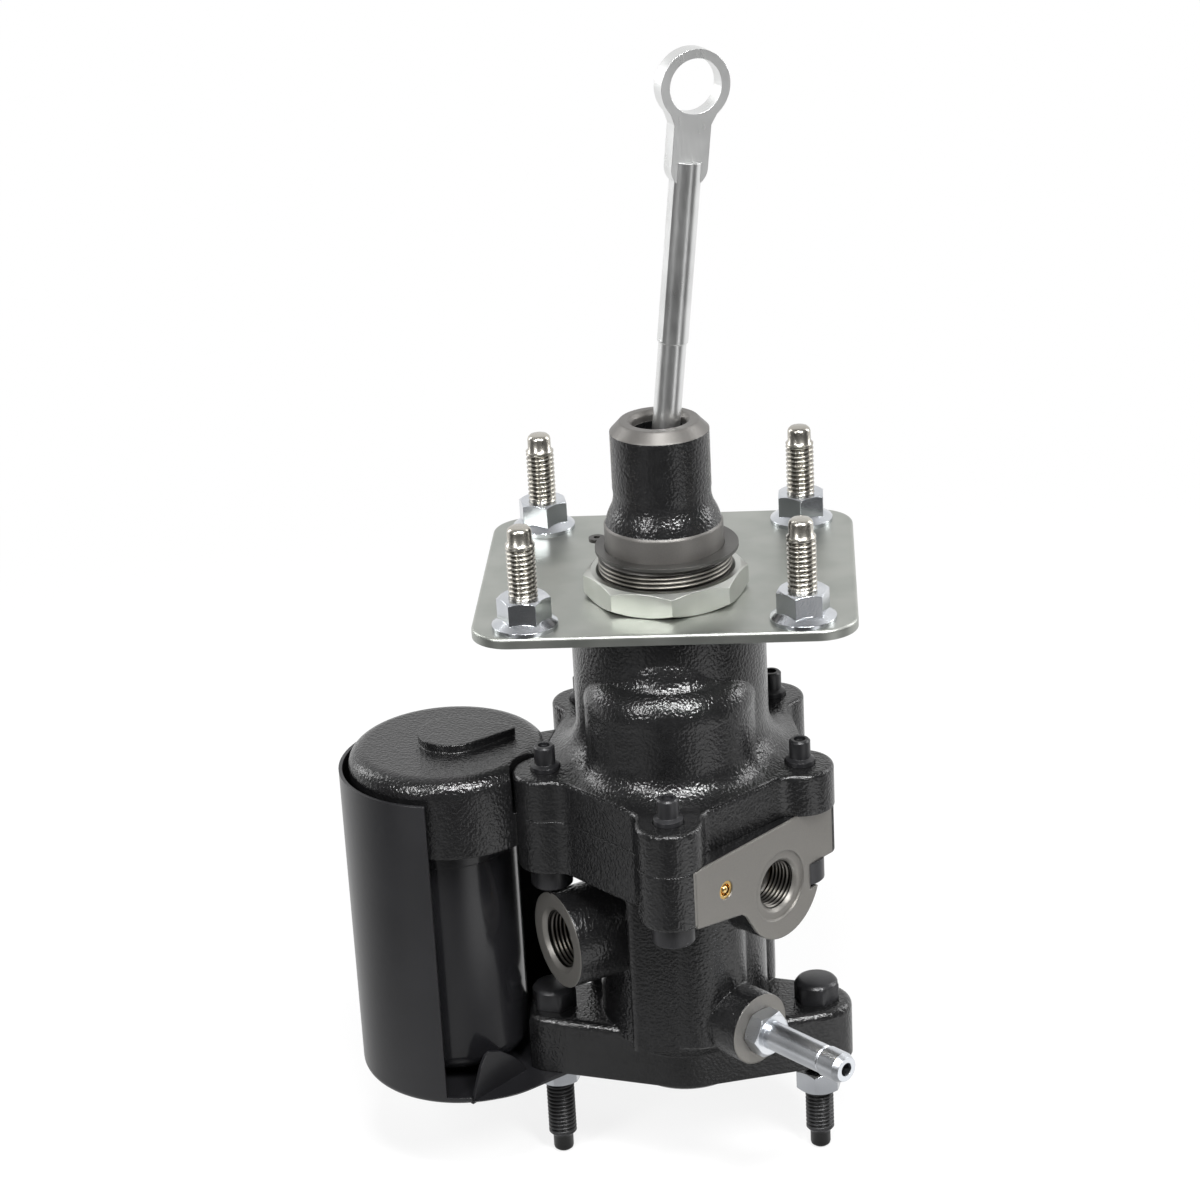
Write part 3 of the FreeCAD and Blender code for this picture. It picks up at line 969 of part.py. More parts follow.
can = turned("accumulator_can",
             [("can_bore", "-cap_base"), ("can_neck", "-cap_base"), ("can_neck", "-cap_base - can_ring"),
              ("can_radius", "-cap_base - can_ring"), ("can_radius", "-face_depth + can_lift"),
              ("gas_plug_radius + 0.05", "-face_depth + can_lift"),
              ("gas_plug_radius + 0.05", "-face_depth + can_lift + can_floor"),
              ("can_bore - 5", "-face_depth + can_lift + can_floor"),
              ("can_bore", "-face_depth + can_lift + can_floor + 5")], **TANK)
doc.recompute()
turn = doc.getObject("accumulator_can_turn")
low = -size("face_depth - can_lift")
wide = size("can_radius")
edge = next(f"Edge{number}" for number, item in enumerate(turn.Shape.Edges, start=1)
            if abs(item.BoundBox.ZMax - low) < 0.01 and abs(item.BoundBox.XLength - 2 * wide) < 0.01)
rounding = can.newObject("PartDesign::Fillet", "accumulator_can_round")
rounding.Base = (turn, [edge])
rounding.setExpression("Radius", bound("can_round"))

head = doc.addObject("Part::Cylinder", "plunger_head")
head.setExpression("Radius", bound("snout_bore - run_gap"))
head.Height = 14
stem = doc.addObject("Part::Cylinder", "plunger_stem")
stem.Radius = 6
stem.setExpression("Height", bound("ball_level - 8 + lever_pin - 8 - pedal_gap"))
socket = doc.addObject("Part::Sphere", "plunger_socket")
socket.setExpression("Radius", bound("ball_radius + 1.5 + run_gap"))
solid_plunger = doc.addObject("Part::Fuse", "plunger_solid")
solid_plunger.Base = head
solid_plunger.Tool = stem
plunger = doc.addObject("Part::Cut", "input_plunger")
plunger.Base = solid_plunger
plunger.Tool = socket
plunger.Label = "input_plunger"
for piece, height in ((head, "ball_level - 9"), (stem, "-lever_pin + 8 + pedal_gap"), (socket, "ball_level")):
    place_expressions(piece, "0", "-axis_setback", height)

doc.recompute()

NODES = ["cover_casting", "housing_casting", "cover_seal", "mounting_plate", "firewall_studs", "firewall_nuts",
         "mounting_nut", "retaining_clip", "pedal_rod", "rod_seat", "input_plunger", "input_seal", "cover_bolts",
         "master_cylinder_studs", "master_cylinder_nuts", "return_fitting", "return_fitting_seal", "gallery_plug",
         "gallery_ball", "pump_port_seat", "gear_port_seat", "power_piston", "piston_seal", "piston_return_spring",
         "spring_retainer", "output_rod", "valve_lever", "lever_pin", "spool_valve", "spool_spring", "spool_plug",
         "spool_plug_seal", "spool_plug_clip", "accumulator_can", "accumulator_ring", "accumulator_piston",
         "accumulator_piston_seal", "accumulator_seal", "gas_plug", "heat_shield"]

for item in doc.Objects:
    if "Invalid" in item.State or "Error" in item.State:
        raise RuntimeError(f"{item.Label} did not recompute: {item.State}")

os.makedirs("parts", exist_ok=True)
for node in NODES:
    piece = doc.getObject(node)
    if piece.Shape.isNull() or not piece.Shape.isValid():
        raise RuntimeError(f"{node} has no valid shape")
    piece.Shape.exportStep(f"parts/{node}.step")
    bounds = piece.Shape.BoundBox
    print(f"{node:26s} solids {len(piece.Shape.Solids)}  x {bounds.XMin:8.2f} {bounds.XMax:8.2f}"
          f"  y {bounds.YMin:8.2f} {bounds.YMax:8.2f}  z {bounds.ZMin:8.2f} {bounds.ZMax:8.2f}")
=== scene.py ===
import json
import math

import bpy
import numpy as np
from mathutils import Matrix, Vector


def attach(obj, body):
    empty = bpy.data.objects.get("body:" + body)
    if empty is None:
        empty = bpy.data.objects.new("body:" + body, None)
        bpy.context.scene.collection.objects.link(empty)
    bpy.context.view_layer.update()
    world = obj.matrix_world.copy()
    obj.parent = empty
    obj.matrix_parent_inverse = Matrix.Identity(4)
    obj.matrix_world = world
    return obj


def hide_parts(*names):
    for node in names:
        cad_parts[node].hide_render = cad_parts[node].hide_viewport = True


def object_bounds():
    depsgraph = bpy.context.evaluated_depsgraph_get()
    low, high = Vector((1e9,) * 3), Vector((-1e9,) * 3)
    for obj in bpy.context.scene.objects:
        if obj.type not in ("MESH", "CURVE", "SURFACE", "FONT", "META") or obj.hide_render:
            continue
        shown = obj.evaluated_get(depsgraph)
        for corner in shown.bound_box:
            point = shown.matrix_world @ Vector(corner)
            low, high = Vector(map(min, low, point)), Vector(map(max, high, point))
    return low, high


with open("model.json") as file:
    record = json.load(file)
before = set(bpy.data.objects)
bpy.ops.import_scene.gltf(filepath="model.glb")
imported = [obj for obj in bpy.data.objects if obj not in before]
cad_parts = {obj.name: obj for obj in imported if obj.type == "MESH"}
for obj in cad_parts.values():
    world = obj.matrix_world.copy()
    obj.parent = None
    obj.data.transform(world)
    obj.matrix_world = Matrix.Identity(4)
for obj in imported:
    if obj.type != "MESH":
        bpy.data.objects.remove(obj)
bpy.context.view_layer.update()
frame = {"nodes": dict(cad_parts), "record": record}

# %% [markdown]
# ## Places that several steps share
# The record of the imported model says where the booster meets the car: its studs, its ports and the face of
# the master cylinder. They could be typed again here, but read from the record they follow the solids when
# a size changes. Millimetres are easier to read against the real part, so lengths are in millimetres and
# scaled once.
# %% Places on the booster
MM = 0.001
mounts = {mount["name"]: mount for mount in frame["record"]["mounts"]}


def mount_place(name):
    """A mount's X, Y and Z in millimetres, to a micron."""
    return [round(value / MM, 3) for value in mounts[name]["pos_m"]]


stud_size = mounts["firewall_studs"]["dims"]
STUD_X, STUD_Y = stud_size["spacing_x_mm"] / 2, stud_size["spacing_y_mm"] / 2
STUDS = [(x * STUD_X, y * STUD_Y) for x, y in ((-1, -1), (1, -1), (1, 1), (-1, 1))]
AXIS_X, AXIS_Y, _ = mount_place("master_cylinder_pilot")
EAR_X = mount_place("right_stud")[0]
EARS = [(-EAR_X, AXIS_Y), (EAR_X, AXIS_Y)]
FACE_Z = mount_place("master_cylinder_face")[2]
print("studs", STUDS, "ears", EARS, "face", FACE_Z)

# %% [markdown]
# ## Frames on the ports
# Each port looks its own way, so its threads and its bare metal are easiest to place in a frame of its own.
# A matrix with three axes and an origin is such a frame: it carries a mesh out to the port, and its axes
# carry any point of the casting back to numbers across, up and out of the port. The mount of a port is the
# middle of its thread, so the face lies half a thread and a plain lead-in further out. The mount of the
# return tube is near the tube's end, so its boss has its face further in.
# %% Port frames
PUMP_LEAD, GEAR_LEAD = 1.4, 1.9
RETURN_REACH = 33.9


def port_frame(name, out_by):
    """Matrix on a port's face, out_by past its mount: Z leaves the face, Y is up, X runs along the face."""
    out, up = Vector(mounts[name]["axis"]).normalized(), Vector((0, 0, 1))
    place = Matrix((up.cross(out), up, out)).transposed().to_4x4()
    place.translation = Vector(mounts[name]["pos_m"]) + out * out_by * MM
    return place


PUMP = port_frame("pump_port", PUMP_LEAD + mounts["pump_port"]["dims"]["length_mm"] / 2)
GEAR = port_frame("gear_port", GEAR_LEAD + mounts["gear_port"]["dims"]["length_mm"] / 2)
RETURN = port_frame("return_tube", -RETURN_REACH)
print("port faces", PUMP.translation, GEAR.translation, RETURN.translation)

# %% [markdown]
# ## Turned and threaded surfaces
# A stud is turned on a lathe and its thread is cut afterwards. It could be modelled with a screw modifier,
# but then the thread would have to be joined to the shank. Here the profile is swung round the axis, and
# the thread is a small wave that climbs one pitch in each turn, so one function of the angle and the height
# gives shank, thread and tip as one closed surface.
# %% Grids of quads


def quads_of(rows, columns):
    """Quads between the rows of a grid whose columns close on themselves."""
    index = np.arange(rows * columns).reshape(rows, columns)
    right = np.roll(index, -1, axis=1)
    return np.stack([index[:-1], right[:-1], right[1:], index[1:]], axis=-1).reshape(-1, 4)


def mesh_of(name, grids, sharp=180):
    """One smooth mesh of several (points, quads) pairs; edges over the sharp angle in degrees stay crisp."""
    points, quads, count = [], [], 0
    for grid_points, grid_quads in grids:
        points.append(grid_points.reshape(-1, 3))
        quads.append(grid_quads + count)
        count += len(points[-1])
    mesh = bpy.data.meshes.new(name)
    mesh.from_pydata(np.concatenate(points).tolist(), [], np.concatenate(quads).tolist())
    mesh.shade_smooth()
    if sharp < 180:
        mesh.set_sharp_from_angle(angle=math.radians(sharp))
    return mesh


def full_turn(columns):
    """Angles of a full turn, one for each column."""
    return np.arange(columns) / columns * 2 * np.pi


def ring_points(radius, angle, height, x, y):
    """Points x + r cos(a), y + r sin(a), z of a surface turned round a vertical axis, in metres."""
    return np.stack([x + radius * np.cos(angle), y + radius * np.sin(angle), height], axis=-1) * MM


print("a grid of 3 rows and 4 columns has", len(quads_of(3, 4)), "quads")

# %% Threads
CREST, FLANKS = 0.1, 0.8
STUD_COLUMNS, THREAD_STEP = 56, 0.13


def thread_wave(turns):
    """Cut of a thread over the count of turns: 0 on the crest, 1 at the root, w*w*(3 - 2*w) on the flanks."""
    flank = np.clip((np.abs((turns % 1.0) * 2 - 1) - CREST) / FLANKS, 0, 1)
    return flank * flank * (3 - 2 * flank)


def turned_grid(profile, thread, x, y):
    """Turned surface: (radius, height) along a profile times the angle, with one stretch of it threaded.

    thread = (low, high, pitch, depth) takes depth * wave(height / pitch - angle / full turn) off the radius,
    faded in and out over one pitch. The profile's straight line from low to high is cut into short steps.
    """
    low, high, pitch, depth = thread
    rows = []
    for (r0, z0), (r1, z1) in zip(profile[:-1], profile[1:]):
        count = int((high - low) / THREAD_STEP) if (z0, z1) == (low, high) else 1
        way = np.arange(count) / count
        rows.append(np.stack([r0 + (r1 - r0) * way, z0 + (z1 - z0) * way], axis=1))
    line = np.concatenate(rows + [profile[-1:]])
    radius, height = line[:, :1], np.repeat(line[:, 1:], STUD_COLUMNS, axis=1)
    angle = full_turn(STUD_COLUMNS)[None, :]
    fade = np.clip(np.minimum(height - low, high - height) / pitch, 0, 1)
    cut = depth * thread_wave(height / pitch - angle / (2 * np.pi)) * fade
    return ring_points(radius - cut, angle, height, x, y), quads_of(len(line), STUD_COLUMNS)


print("cut of a thread at its crest and its root", thread_wave(np.array([0.5, 0.0])))

# %% Pieces on the frame


def add_piece(name, mesh, body, replaces=()):
    """Links a finished mesh as a piece that rides on a body of the frame."""
    made = bpy.data.objects.new(name, mesh)
    bpy.context.scene.collection.objects.link(made)
    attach(made, body)
    if replaces:
        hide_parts(*replaces)
    print(f"{name}: {len(mesh.vertices)} points, {len(mesh.polygons)} faces")


# %% [markdown]
# ## Firewall studs
# Four studs are pressed into the plate from below. Each has a flat dome under the plate, a coarse thread of
# 16 turns to the inch and a plain rounded lead that finds the hole in the firewall. The CAD stud is smooth,
# so a threaded surface of the same profile replaces it.
# %% Firewall studs
INCH_PITCH = 25.4 / 16
STUD_SHARP = 50
NECK, CORE, TIP = 5.4, 4.16, 3.95
STUD_RADIUS, STUD_LOW, STUD_HIGH, STUD_DEPTH = stud_size["stud_r_mm"], 9.8, 28.2, 0.68
stud_profile = [(0, -6.2), (3.0, -6.15), (5.6, -5.7), (7.4, -4.9), (8.2, -4.2), (8.2, -3.5),
                (NECK, -3.5), (NECK, -0.2), (CORE, -0.2), (CORE, 9.6),
                (STUD_RADIUS, STUD_LOW), (STUD_RADIUS, STUD_HIGH), (TIP, 29.0), (TIP, 32.4),
                (3.7, 33.2), (3.0, 33.9), (1.9, 34.15), (0, 34.2)]
stud_thread = (STUD_LOW, STUD_HIGH, INCH_PITCH, STUD_DEPTH)
stud_grids = [turned_grid(stud_profile, stud_thread, x, y) for x, y in STUDS]
stud_mesh = mesh_of("firewall_stud_threads", stud_grids, STUD_SHARP)
add_piece("firewall_stud_threads", stud_mesh, "housing", ["firewall_studs"])

# %% [markdown]
# ## Master cylinder studs
# Two long bolts drop through the ears from above. Below the nuts they carry a metric thread and a plain dog
# point, turned like the firewall studs. Their heads are six-sided below and domed above, which is a radius
# again: the hexagon's own on the sides and the dome's over them.
# %% Master cylinder studs
METRIC_PITCH = 1.5
EAR_RADIUS, EAR_LOW, EAR_HIGH, EAR_DEPTH = mounts["right_stud"]["dims"]["r_mm"], -203.1, -174.6, 0.75
ear_profile = [(0, -210.6), (2.6, -210.5), (3.3, -209.9), (3.5, -209.2), (3.5, -204.8), (4.4, -203.7),
               (EAR_RADIUS, EAR_LOW), (EAR_RADIUS, EAR_HIGH), (5.5, -173.9), (5.5, -152.2), (0, -152.2)]
ear_thread = (EAR_LOW, EAR_HIGH, METRIC_PITCH, EAR_DEPTH)
HEAD_Z, HEAD_TURN, HEAD_COLUMNS, HEAD_SHARP = -152.3, 0.3, 72, 30
HALF_FLATS, DOME, SIDE = 6.9, 7.3, np.inf
SIXTH = np.pi / 3


def head_grid(x, y):
    """Hexagon head: radius is half the flats / cos(angle from the flat) on the sides, a dome's above them."""
    levels = np.array([(0, 0), (SIDE, 0), (SIDE, 0.4), (SIDE, 5.4),
                       (DOME, 6.3), (6.6, 7.2), (5.4, 7.75), (0, 7.8)])
    angle = full_turn(HEAD_COLUMNS)[None, :]
    hexagon = HALF_FLATS / np.cos((angle - HEAD_TURN + SIXTH / 2) % SIXTH - SIXTH / 2)
    radius = np.where(levels[:, :1] == SIDE, hexagon, levels[:, :1])
    height = np.repeat(levels[:, 1:] + HEAD_Z, HEAD_COLUMNS, axis=1)
    return ring_points(radius, angle, height, x, y), quads_of(len(levels), HEAD_COLUMNS)


ear_grids = [turned_grid(ear_profile, ear_thread, x, y) for x, y in EARS]
head_grids = [head_grid(x, y) for x, y in EARS]
for name, grids, sharp in (("master_cylinder_stud_threads", ear_grids, STUD_SHARP),
                           ("master_cylinder_stud_heads", head_grids, HEAD_SHARP)):
    add_piece(name, mesh_of(name, grids, sharp), "housing", ["master_cylinder_studs"])

# %% [markdown]
# ## Threads in the ports and on the snout
# A hose nut screws into each port, and the octagonal nut onto the snout. The CAD has plain bores of the
# thread's outer size and a plain collar. Cutting the castings would mean new meshes for them, so each
# thread is a thin sleeve instead, whose crests stand inwards in a port and outwards on the snout.
# %% Port and snout threads
STEPS_IN_PITCH, SLEEVE_FADE = 12, 0.6
BORE_GAP, BORE_COLUMNS, SNOUT_COLUMNS = 0.04, 96, 128
SNOUT_RADIUS, SNOUT_LOW, SNOUT_HIGH, SNOUT_DEPTH = 21.32, 8.2, 13.4, 0.55


def sleeve_mesh(name, radius, low, high, depth, columns, x=0.0, y=0.0):
    """Threaded sleeve, open at both ends: radius + depth * (1 - wave(height / pitch - angle / full turn)).

    A negative depth stands the crests inwards, and the columns then run the other way to face the axis.
    """
    rows = int((high - low) / METRIC_PITCH * STEPS_IN_PITCH)
    height = np.repeat(np.linspace(low, high, rows)[:, None], columns, axis=1)
    angle = full_turn(columns)[None, :]
    fade = np.clip(np.minimum(height - low, high - height) / (METRIC_PITCH * SLEEVE_FADE), 0, 1)
    crest = (1 - thread_wave(height / METRIC_PITCH - angle / (2 * np.pi))) * fade
    points = ring_points(radius + depth * crest, angle, height, x, y)
    return mesh_of(name, [(points if depth > 0 else points[:, ::-1], quads_of(rows, columns))])


for name, port, place, lead, depth in (("pump_port_thread", "pump_port", PUMP, PUMP_LEAD, 0.8),
                                       ("gear_port_thread", "gear_port", GEAR, GEAR_LEAD, 0.75)):
    bore = mounts[port]["dims"]
    mesh = sleeve_mesh(name, bore["r_mm"] - BORE_GAP, -lead - bore["length_mm"], -lead, -depth, BORE_COLUMNS)
    mesh.transform(place)
    add_piece(name, mesh, "housing")
snout_mesh = sleeve_mesh("snout_thread", SNOUT_RADIUS, SNOUT_LOW, SNOUT_HIGH, SNOUT_DEPTH, SNOUT_COLUMNS,
                         AXIS_X, AXIS_Y)
add_piece("snout_thread", snout_mesh, "housing")

# %% [markdown]
# ## Shader maths in plain Python
# A material is a small formula over the surface. Wiring its nodes by hand hides that formula, so one class
# wraps an output of a node and overloads the operators: the formula reads as it would on paper, and each
# operator adds its own Math node. A second class adds every other node by its type, its settings and its
# inputs.
# %% Values
MASK_EDGE = 0.05


class Value:
    """One output of a node; arithmetic on it adds Math nodes to the same tree."""

    def __init__(self, tree, socket):
        self.tree, self.socket = tree, socket

    def _math(self, operation, *values):
        return self.tree.node("ShaderNodeMath", {"operation": operation}, dict(enumerate(values)))

    def __add__(self, other):
        return self._math("ADD", self, other)

    def __sub__(self, other):
        return self._math("SUBTRACT", self, other)

    def __rsub__(self, other):
        return self._math("SUBTRACT", other, self)

    def __mul__(self, other):
        return self._math("MULTIPLY", self, other)

    def __abs__(self):
        return self._math("ABSOLUTE", self)

    __radd__, __rmul__ = __add__, __mul__

    def most(self, other):
        """The larger of two values."""
        return self._math("MAXIMUM", self, other)

    def hypot(self, other):
        """Square root of the sum of two squares."""
        return self._math("SQRT", self * self + other * other)

    def step(self, start, end):
        """0 at start, 1 at end, a smooth ramp between; start may be the larger one."""
        return self.tree.node("ShaderNodeMapRange", {"interpolation_type": "SMOOTHSTEP"},
                              {"Value": self, "From Min": start, "From Max": end})

    def between(self, low, high):
        """1 between two limits, 0 outside."""
        return self.step(low - MASK_EDGE, low) * (1 - self.step(high, high + MASK_EDGE))


# %% Node trees
class Tree:
    """A node tree under construction."""

    def __init__(self, owner):
        owner.use_nodes = True
        self.nodes, self.links = owner.node_tree.nodes, owner.node_tree.links

    def node(self, kind, settings=None, values=None, output=0):
        """Adds a node: its settings first, then the values or links of its sockets."""
        made = self.nodes.new(kind)
        for name, setting in (settings or {}).items():
            setattr(made, name, setting)
        for name, value in (values or {}).items():
            self.put(made.inputs[name], value)
        return Value(self, made.outputs[output])

    def put(self, socket, value):
        """Links a Value to a socket, or sets the socket's own number or colour."""
        if isinstance(value, Value):
            self.links.new(value.socket, socket)
        elif isinstance(value, tuple) and len(value) == 3 and len(socket.default_value) == 4:
            socket.default_value = (*value, 1)
        else:
            socket.default_value = value

    def ray(self, kind):
        """1 for rays of one kind, such as Camera or Glossy, 0 for others."""
        return self.node("ShaderNodeLightPath", output=f"Is {kind} Ray")


# %% Finishes
class Finish(Tree):
    """A material: a Principled surface and the nodes that feed it."""

    def __init__(self, name, **sockets):
        self.material = bpy.data.materials.new(name)
        super().__init__(self.material)
        self.shader = self.nodes["Principled BSDF"]
        self.coords = self.node("ShaderNodeTexCoord", output="Object")
        self.feed(**sockets)

    def feed(self, **sockets):
        """Feeds the shader's own sockets, named with underscores."""
        for name, value in sockets.items():
            self.put(self.shader.inputs[name.replace("_", " ")], value)

    def axis(self, name):
        """One Object coordinate, in millimetres."""
        return self.node("ShaderNodeSeparateXYZ", None, {0: self.coords}, output=name) * (1 / MM)

    def port_axes(self, place):
        """Coordinates across, up and out of a port's frame: the offset from its face along each axis."""
        x, y, z = (self.axis(name) - middle / MM for name, middle in zip("XYZ", place.translation))
        return [x * way.x + y * way.y + z * way.z for way in place.to_3x3().transposed()]

    def noise(self, scale, detail=2.0, roughness=0.5, stretch=(1, 1, 1)):
        """Noise over Object coordinates; scale is in waves per metre."""
        where = self.node("ShaderNodeMapping", None, {"Vector": self.coords, "Scale": stretch})
        return self.node("ShaderNodeTexNoise", None,
                         {"Vector": where, "Scale": scale, "Detail": detail, "Roughness": roughness})

    def mix(self, share, first, second):
        """Colour between two colours; a colour Mix node has its factor and colours on sockets 0, 6 and 7."""
        return self.node("ShaderNodeMix", {"data_type": "RGBA"}, {0: share, 6: first, 7: second}, output=2)

    def bump(self, height, distance, strength, edge):
        """Bump of a height field over edges rounded by a radius, in millimetres; 0 leaves them sharp."""
        values = {"Height": height, "Distance": distance * MM, "Strength": strength}
        if edge:
            values["Normal"] = self.node("ShaderNodeBevel", {"samples": 6}, {"Radius": edge * MM})
        return self.node("ShaderNodeBump", None, values)

    def paint_shade(self, mask, colour):
        """Mixes a colour of painted shade into the base colour where a mask is 1."""
        base = Value(self, self.shader.inputs["Base Color"].links[0].from_socket)
        self.feed(Base_Color=self.mix(mask, base, colour))


# %% Putting a finish on


def dress(finish, *names):
    """Puts a finish on CAD nodes or on new pieces."""
    for name in names:
        target = frame["nodes"].get(name) or bpy.data.objects[name]
        for slot in target.material_slots:
            slot.material = finish.material
        if not target.material_slots:
            target.data.materials.append(finish.material)
    print(f"{finish.material.name} on {', '.join(names)}")


# %% [markdown]
# ## The castings
# Both castings are painted black over a coarse sand skin, so the gloss breaks into small islands. Faces
# that seal or seat something were machined after painting and show bare warm grey metal: the pad, the port
# faces, the bands of the snout. Each of these could be a material slot of its own, but the slots end at the
# CAD's faces. A mask that finds them from the place and the direction of the surface can also stop part of
# the way across a face.
# %% Casting finish
SKIN_BUMP, SKIN_EDGE = 0.15, 1.1


def casting_finish(name, bare_mask, dark, light):
    """Black skin with orange peel, mixed with bare metal by the mask that bare_mask(finish) works out."""
    finish = Finish(name, IOR=1.5, Specular_IOR_Level=0.5)
    bare = bare_mask(finish)
    fine, coarse, grain = finish.noise(1000, 1.0, 0.4), finish.noise(260, 1.0), finish.noise(2600, 2.0, 0.6)
    peel = fine.step(0.25, 0.75) * 0.75 + coarse * 0.25
    black = finish.mix(coarse, (0.004, 0.004, 0.0042), (0.008, 0.008, 0.0084))
    metal = finish.mix(grain, dark, light)
    relief = peel * (1 - bare) + grain * bare * 0.06
    finish.feed(Base_Color=finish.mix(bare, black, metal), Metallic=bare * 0.7,
                Roughness=bare * 0.2 + 0.19 + coarse * 0.06,
                Normal=finish.bump(relief, SKIN_BUMP, 1.0, SKIN_EDGE))
    return finish


# %% Bare metal on the castings
CHAMFER_Z, BAND_LOW, BAND_HIGH = 55.65, 1.0, 24.85
PAD_LEFT, PAD_RIGHT, PAD_LOW, PAD_HIGH = -41.5, 27, -21, 21.4
BORE_END = -17.6


def cover_bare(finish):
    """Bare metal on the cover: the snout's top chamfer, its lower band and the thread."""
    height = finish.axis("Z")
    return height.step(CHAMFER_Z, CHAMFER_Z + 0.1).most(height.between(BAND_LOW, BAND_HIGH))


def disc(finish, place, low, radius, soft):
    """1 round a port's axis, from a depth low to just past its face and out to a radius."""
    across, up, out = finish.port_axes(place)
    return out.between(low, 0.2) * across.hypot(up).step(radius + soft, radius)


def housing_bare(finish):
    """Bare metal on the housing: the machined pad, the ports' faces and bores, the master cylinder's face."""
    across, up, out = finish.port_axes(GEAR)
    pad = out.between(-0.85, 0.2) * across.between(PAD_LEFT, PAD_RIGHT) * up.between(PAD_LOW, PAD_HIGH)
    gear_bore = disc(finish, GEAR, BORE_END, 12.25, 0.04)
    pump_face, pump_bore = disc(finish, PUMP, -0.1, 17.03, 0.29), disc(finish, PUMP, BORE_END, 11.4, 0.09)
    return_face = disc(finish, RETURN, -0.1, 12.65, 0.2)
    normal = finish.node("ShaderNodeNewGeometry", output="Normal")
    up_part = finish.node("ShaderNodeSeparateXYZ", None, {0: normal}, output="Z")
    under = finish.axis("Z").step(FACE_Z + 0.1, FACE_Z + 0.05) * up_part.step(-0.8, -0.9)
    return pad.most(gear_bore).most(pump_face).most(pump_bore).most(return_face).most(under)


dress(casting_finish("cover_paint", cover_bare, (0.115, 0.11, 0.104), (0.155, 0.149, 0.141)),
      "cover_casting")
dress(casting_finish("housing_paint", housing_bare, (0.16, 0.154, 0.143), (0.215, 0.207, 0.193)),
      "housing_casting")

# %% [markdown]
# ## Plated and turned metal
# Plate, nuts, studs and rod came out of a plating bath or off a lathe. No such surface is one even colour,
# so each finish is one formula: a base colour with a slow drift, a roughness with a finer one, and a fine
# bump.
# %% Metal finishes
EDGE, DRIFT = 0.25, 60


def metal_finish(name, dark, light, roughness, grain, bump, edge=EDGE, metallic=1.0, stretch=(1, 1, 1)):
    """Plated or turned metal: colour drifts slowly, roughness and bump follow a fine grain."""
    finish = Finish(name, Metallic=metallic)
    slow, fine = finish.noise(DRIFT), finish.noise(grain, 3.0, 0.6, stretch)
    finish.feed(Base_Color=finish.mix(slow.step(0.3, 0.7), dark, light),
                Roughness=roughness + (fine - 0.5) * 0.12 + (slow - 0.5) * 0.1,
                Normal=finish.bump(fine, bump, 0.8, edge))
    return finish


dress(metal_finish("plate_zinc", (0.34, 0.355, 0.33), (0.40, 0.41, 0.385), 0.42, 2400, 0.03),
      "mounting_plate")
dress(metal_finish("nut_zinc", (0.42, 0.43, 0.40), (0.52, 0.53, 0.50), 0.32, 2400, 0.04), "mounting_nut")
dress(metal_finish("bright_zinc", (0.52, 0.54, 0.57), (0.64, 0.66, 0.69), 0.2, 1500, 0.02),
      "firewall_nuts", "master_cylinder_nuts", "gas_plug")
dress(metal_finish("fitting_zinc", (0.56, 0.58, 0.61), (0.68, 0.70, 0.73), 0.3, 1500, 0.03), "return_fitting")
dress(metal_finish("rod_zinc", (0.66, 0.665, 0.66), (0.78, 0.785, 0.78), 0.3, 900, 0.03,
                   stretch=(1, 1, 0.15)), "pedal_rod")
dress(metal_finish("clip_steel", (0.06, 0.058, 0.055), (0.10, 0.098, 0.093), 0.4, 1600, 0.03,
                   metallic=0.8), "retaining_clip")
dress(metal_finish("black_oxide", (0.010, 0.010, 0.011), (0.022, 0.022, 0.024), 0.34, 1600, 0.03,
                   metallic=0.3), "cover_bolts", "master_cylinder_stud_heads")
dress(metal_finish("ground_steel", (0.50, 0.50, 0.50), (0.62, 0.62, 0.62), 0.22, 1400, 0.02),
      "input_plunger", "power_piston", "output_rod", "valve_lever", "lever_pin", "spool_valve", "spool_plug",
      "spring_retainer")
dress(metal_finish("spring_steel", (0.16, 0.16, 0.17), (0.26, 0.26, 0.27), 0.3, 1400, 0.02),
      "piston_return_spring", "spool_spring", "spool_plug_clip")
dress(metal_finish("alloy", (0.60, 0.61, 0.62), (0.70, 0.71, 0.72), 0.3, 1400, 0.02),
      "accumulator_piston", "rod_seat")
dress(metal_finish("brass", (0.72, 0.50, 0.20), (0.85, 0.64, 0.30), 0.22, 1500, 0.02),
      "gallery_plug", "gallery_ball", "pump_port_seat", "gear_port_seat")

# %% [markdown]
# ## Painted shade in the threads
# A thread's grooves are painted darker as shade, so that its crests stay bright. The groove is where the
# surface is nearer to the thread's axis than the crest, or further from it inside a bore, so the distance
# from the axis is the mask. It needs no second material and follows the cut exactly. Each groove is given by
# the radius where it is still unshaded and the radius where its painted shade is full.
# %% Thread finishes
STUD_GROOVE, EAR_GROOVE, SNOUT_GROOVE = (4.6, 3.98), (4.85, 4.2), (21.8, 21.4)
PUMP_GROOVE, GEAR_GROOVE = (9.3, 9.9), (7.55, 8.15)
stud_nickel = metal_finish("stud_nickel", (0.42, 0.40, 0.36), (0.53, 0.51, 0.46), 0.26, 2000, 0.015, edge=0)
from_stud = (abs(stud_nickel.axis("X")) - STUD_X).hypot(abs(stud_nickel.axis("Y")) - STUD_Y)
below_tip = stud_nickel.axis("Z").step(STUD_HIGH + 0.3, STUD_HIGH - 0.2)
# The thread's grooves below the tip are darkened with painted shade.
stud_nickel.paint_shade(from_stud.step(*STUD_GROOVE) * below_tip, (0.10, 0.092, 0.075))
dress(stud_nickel, "firewall_stud_threads")

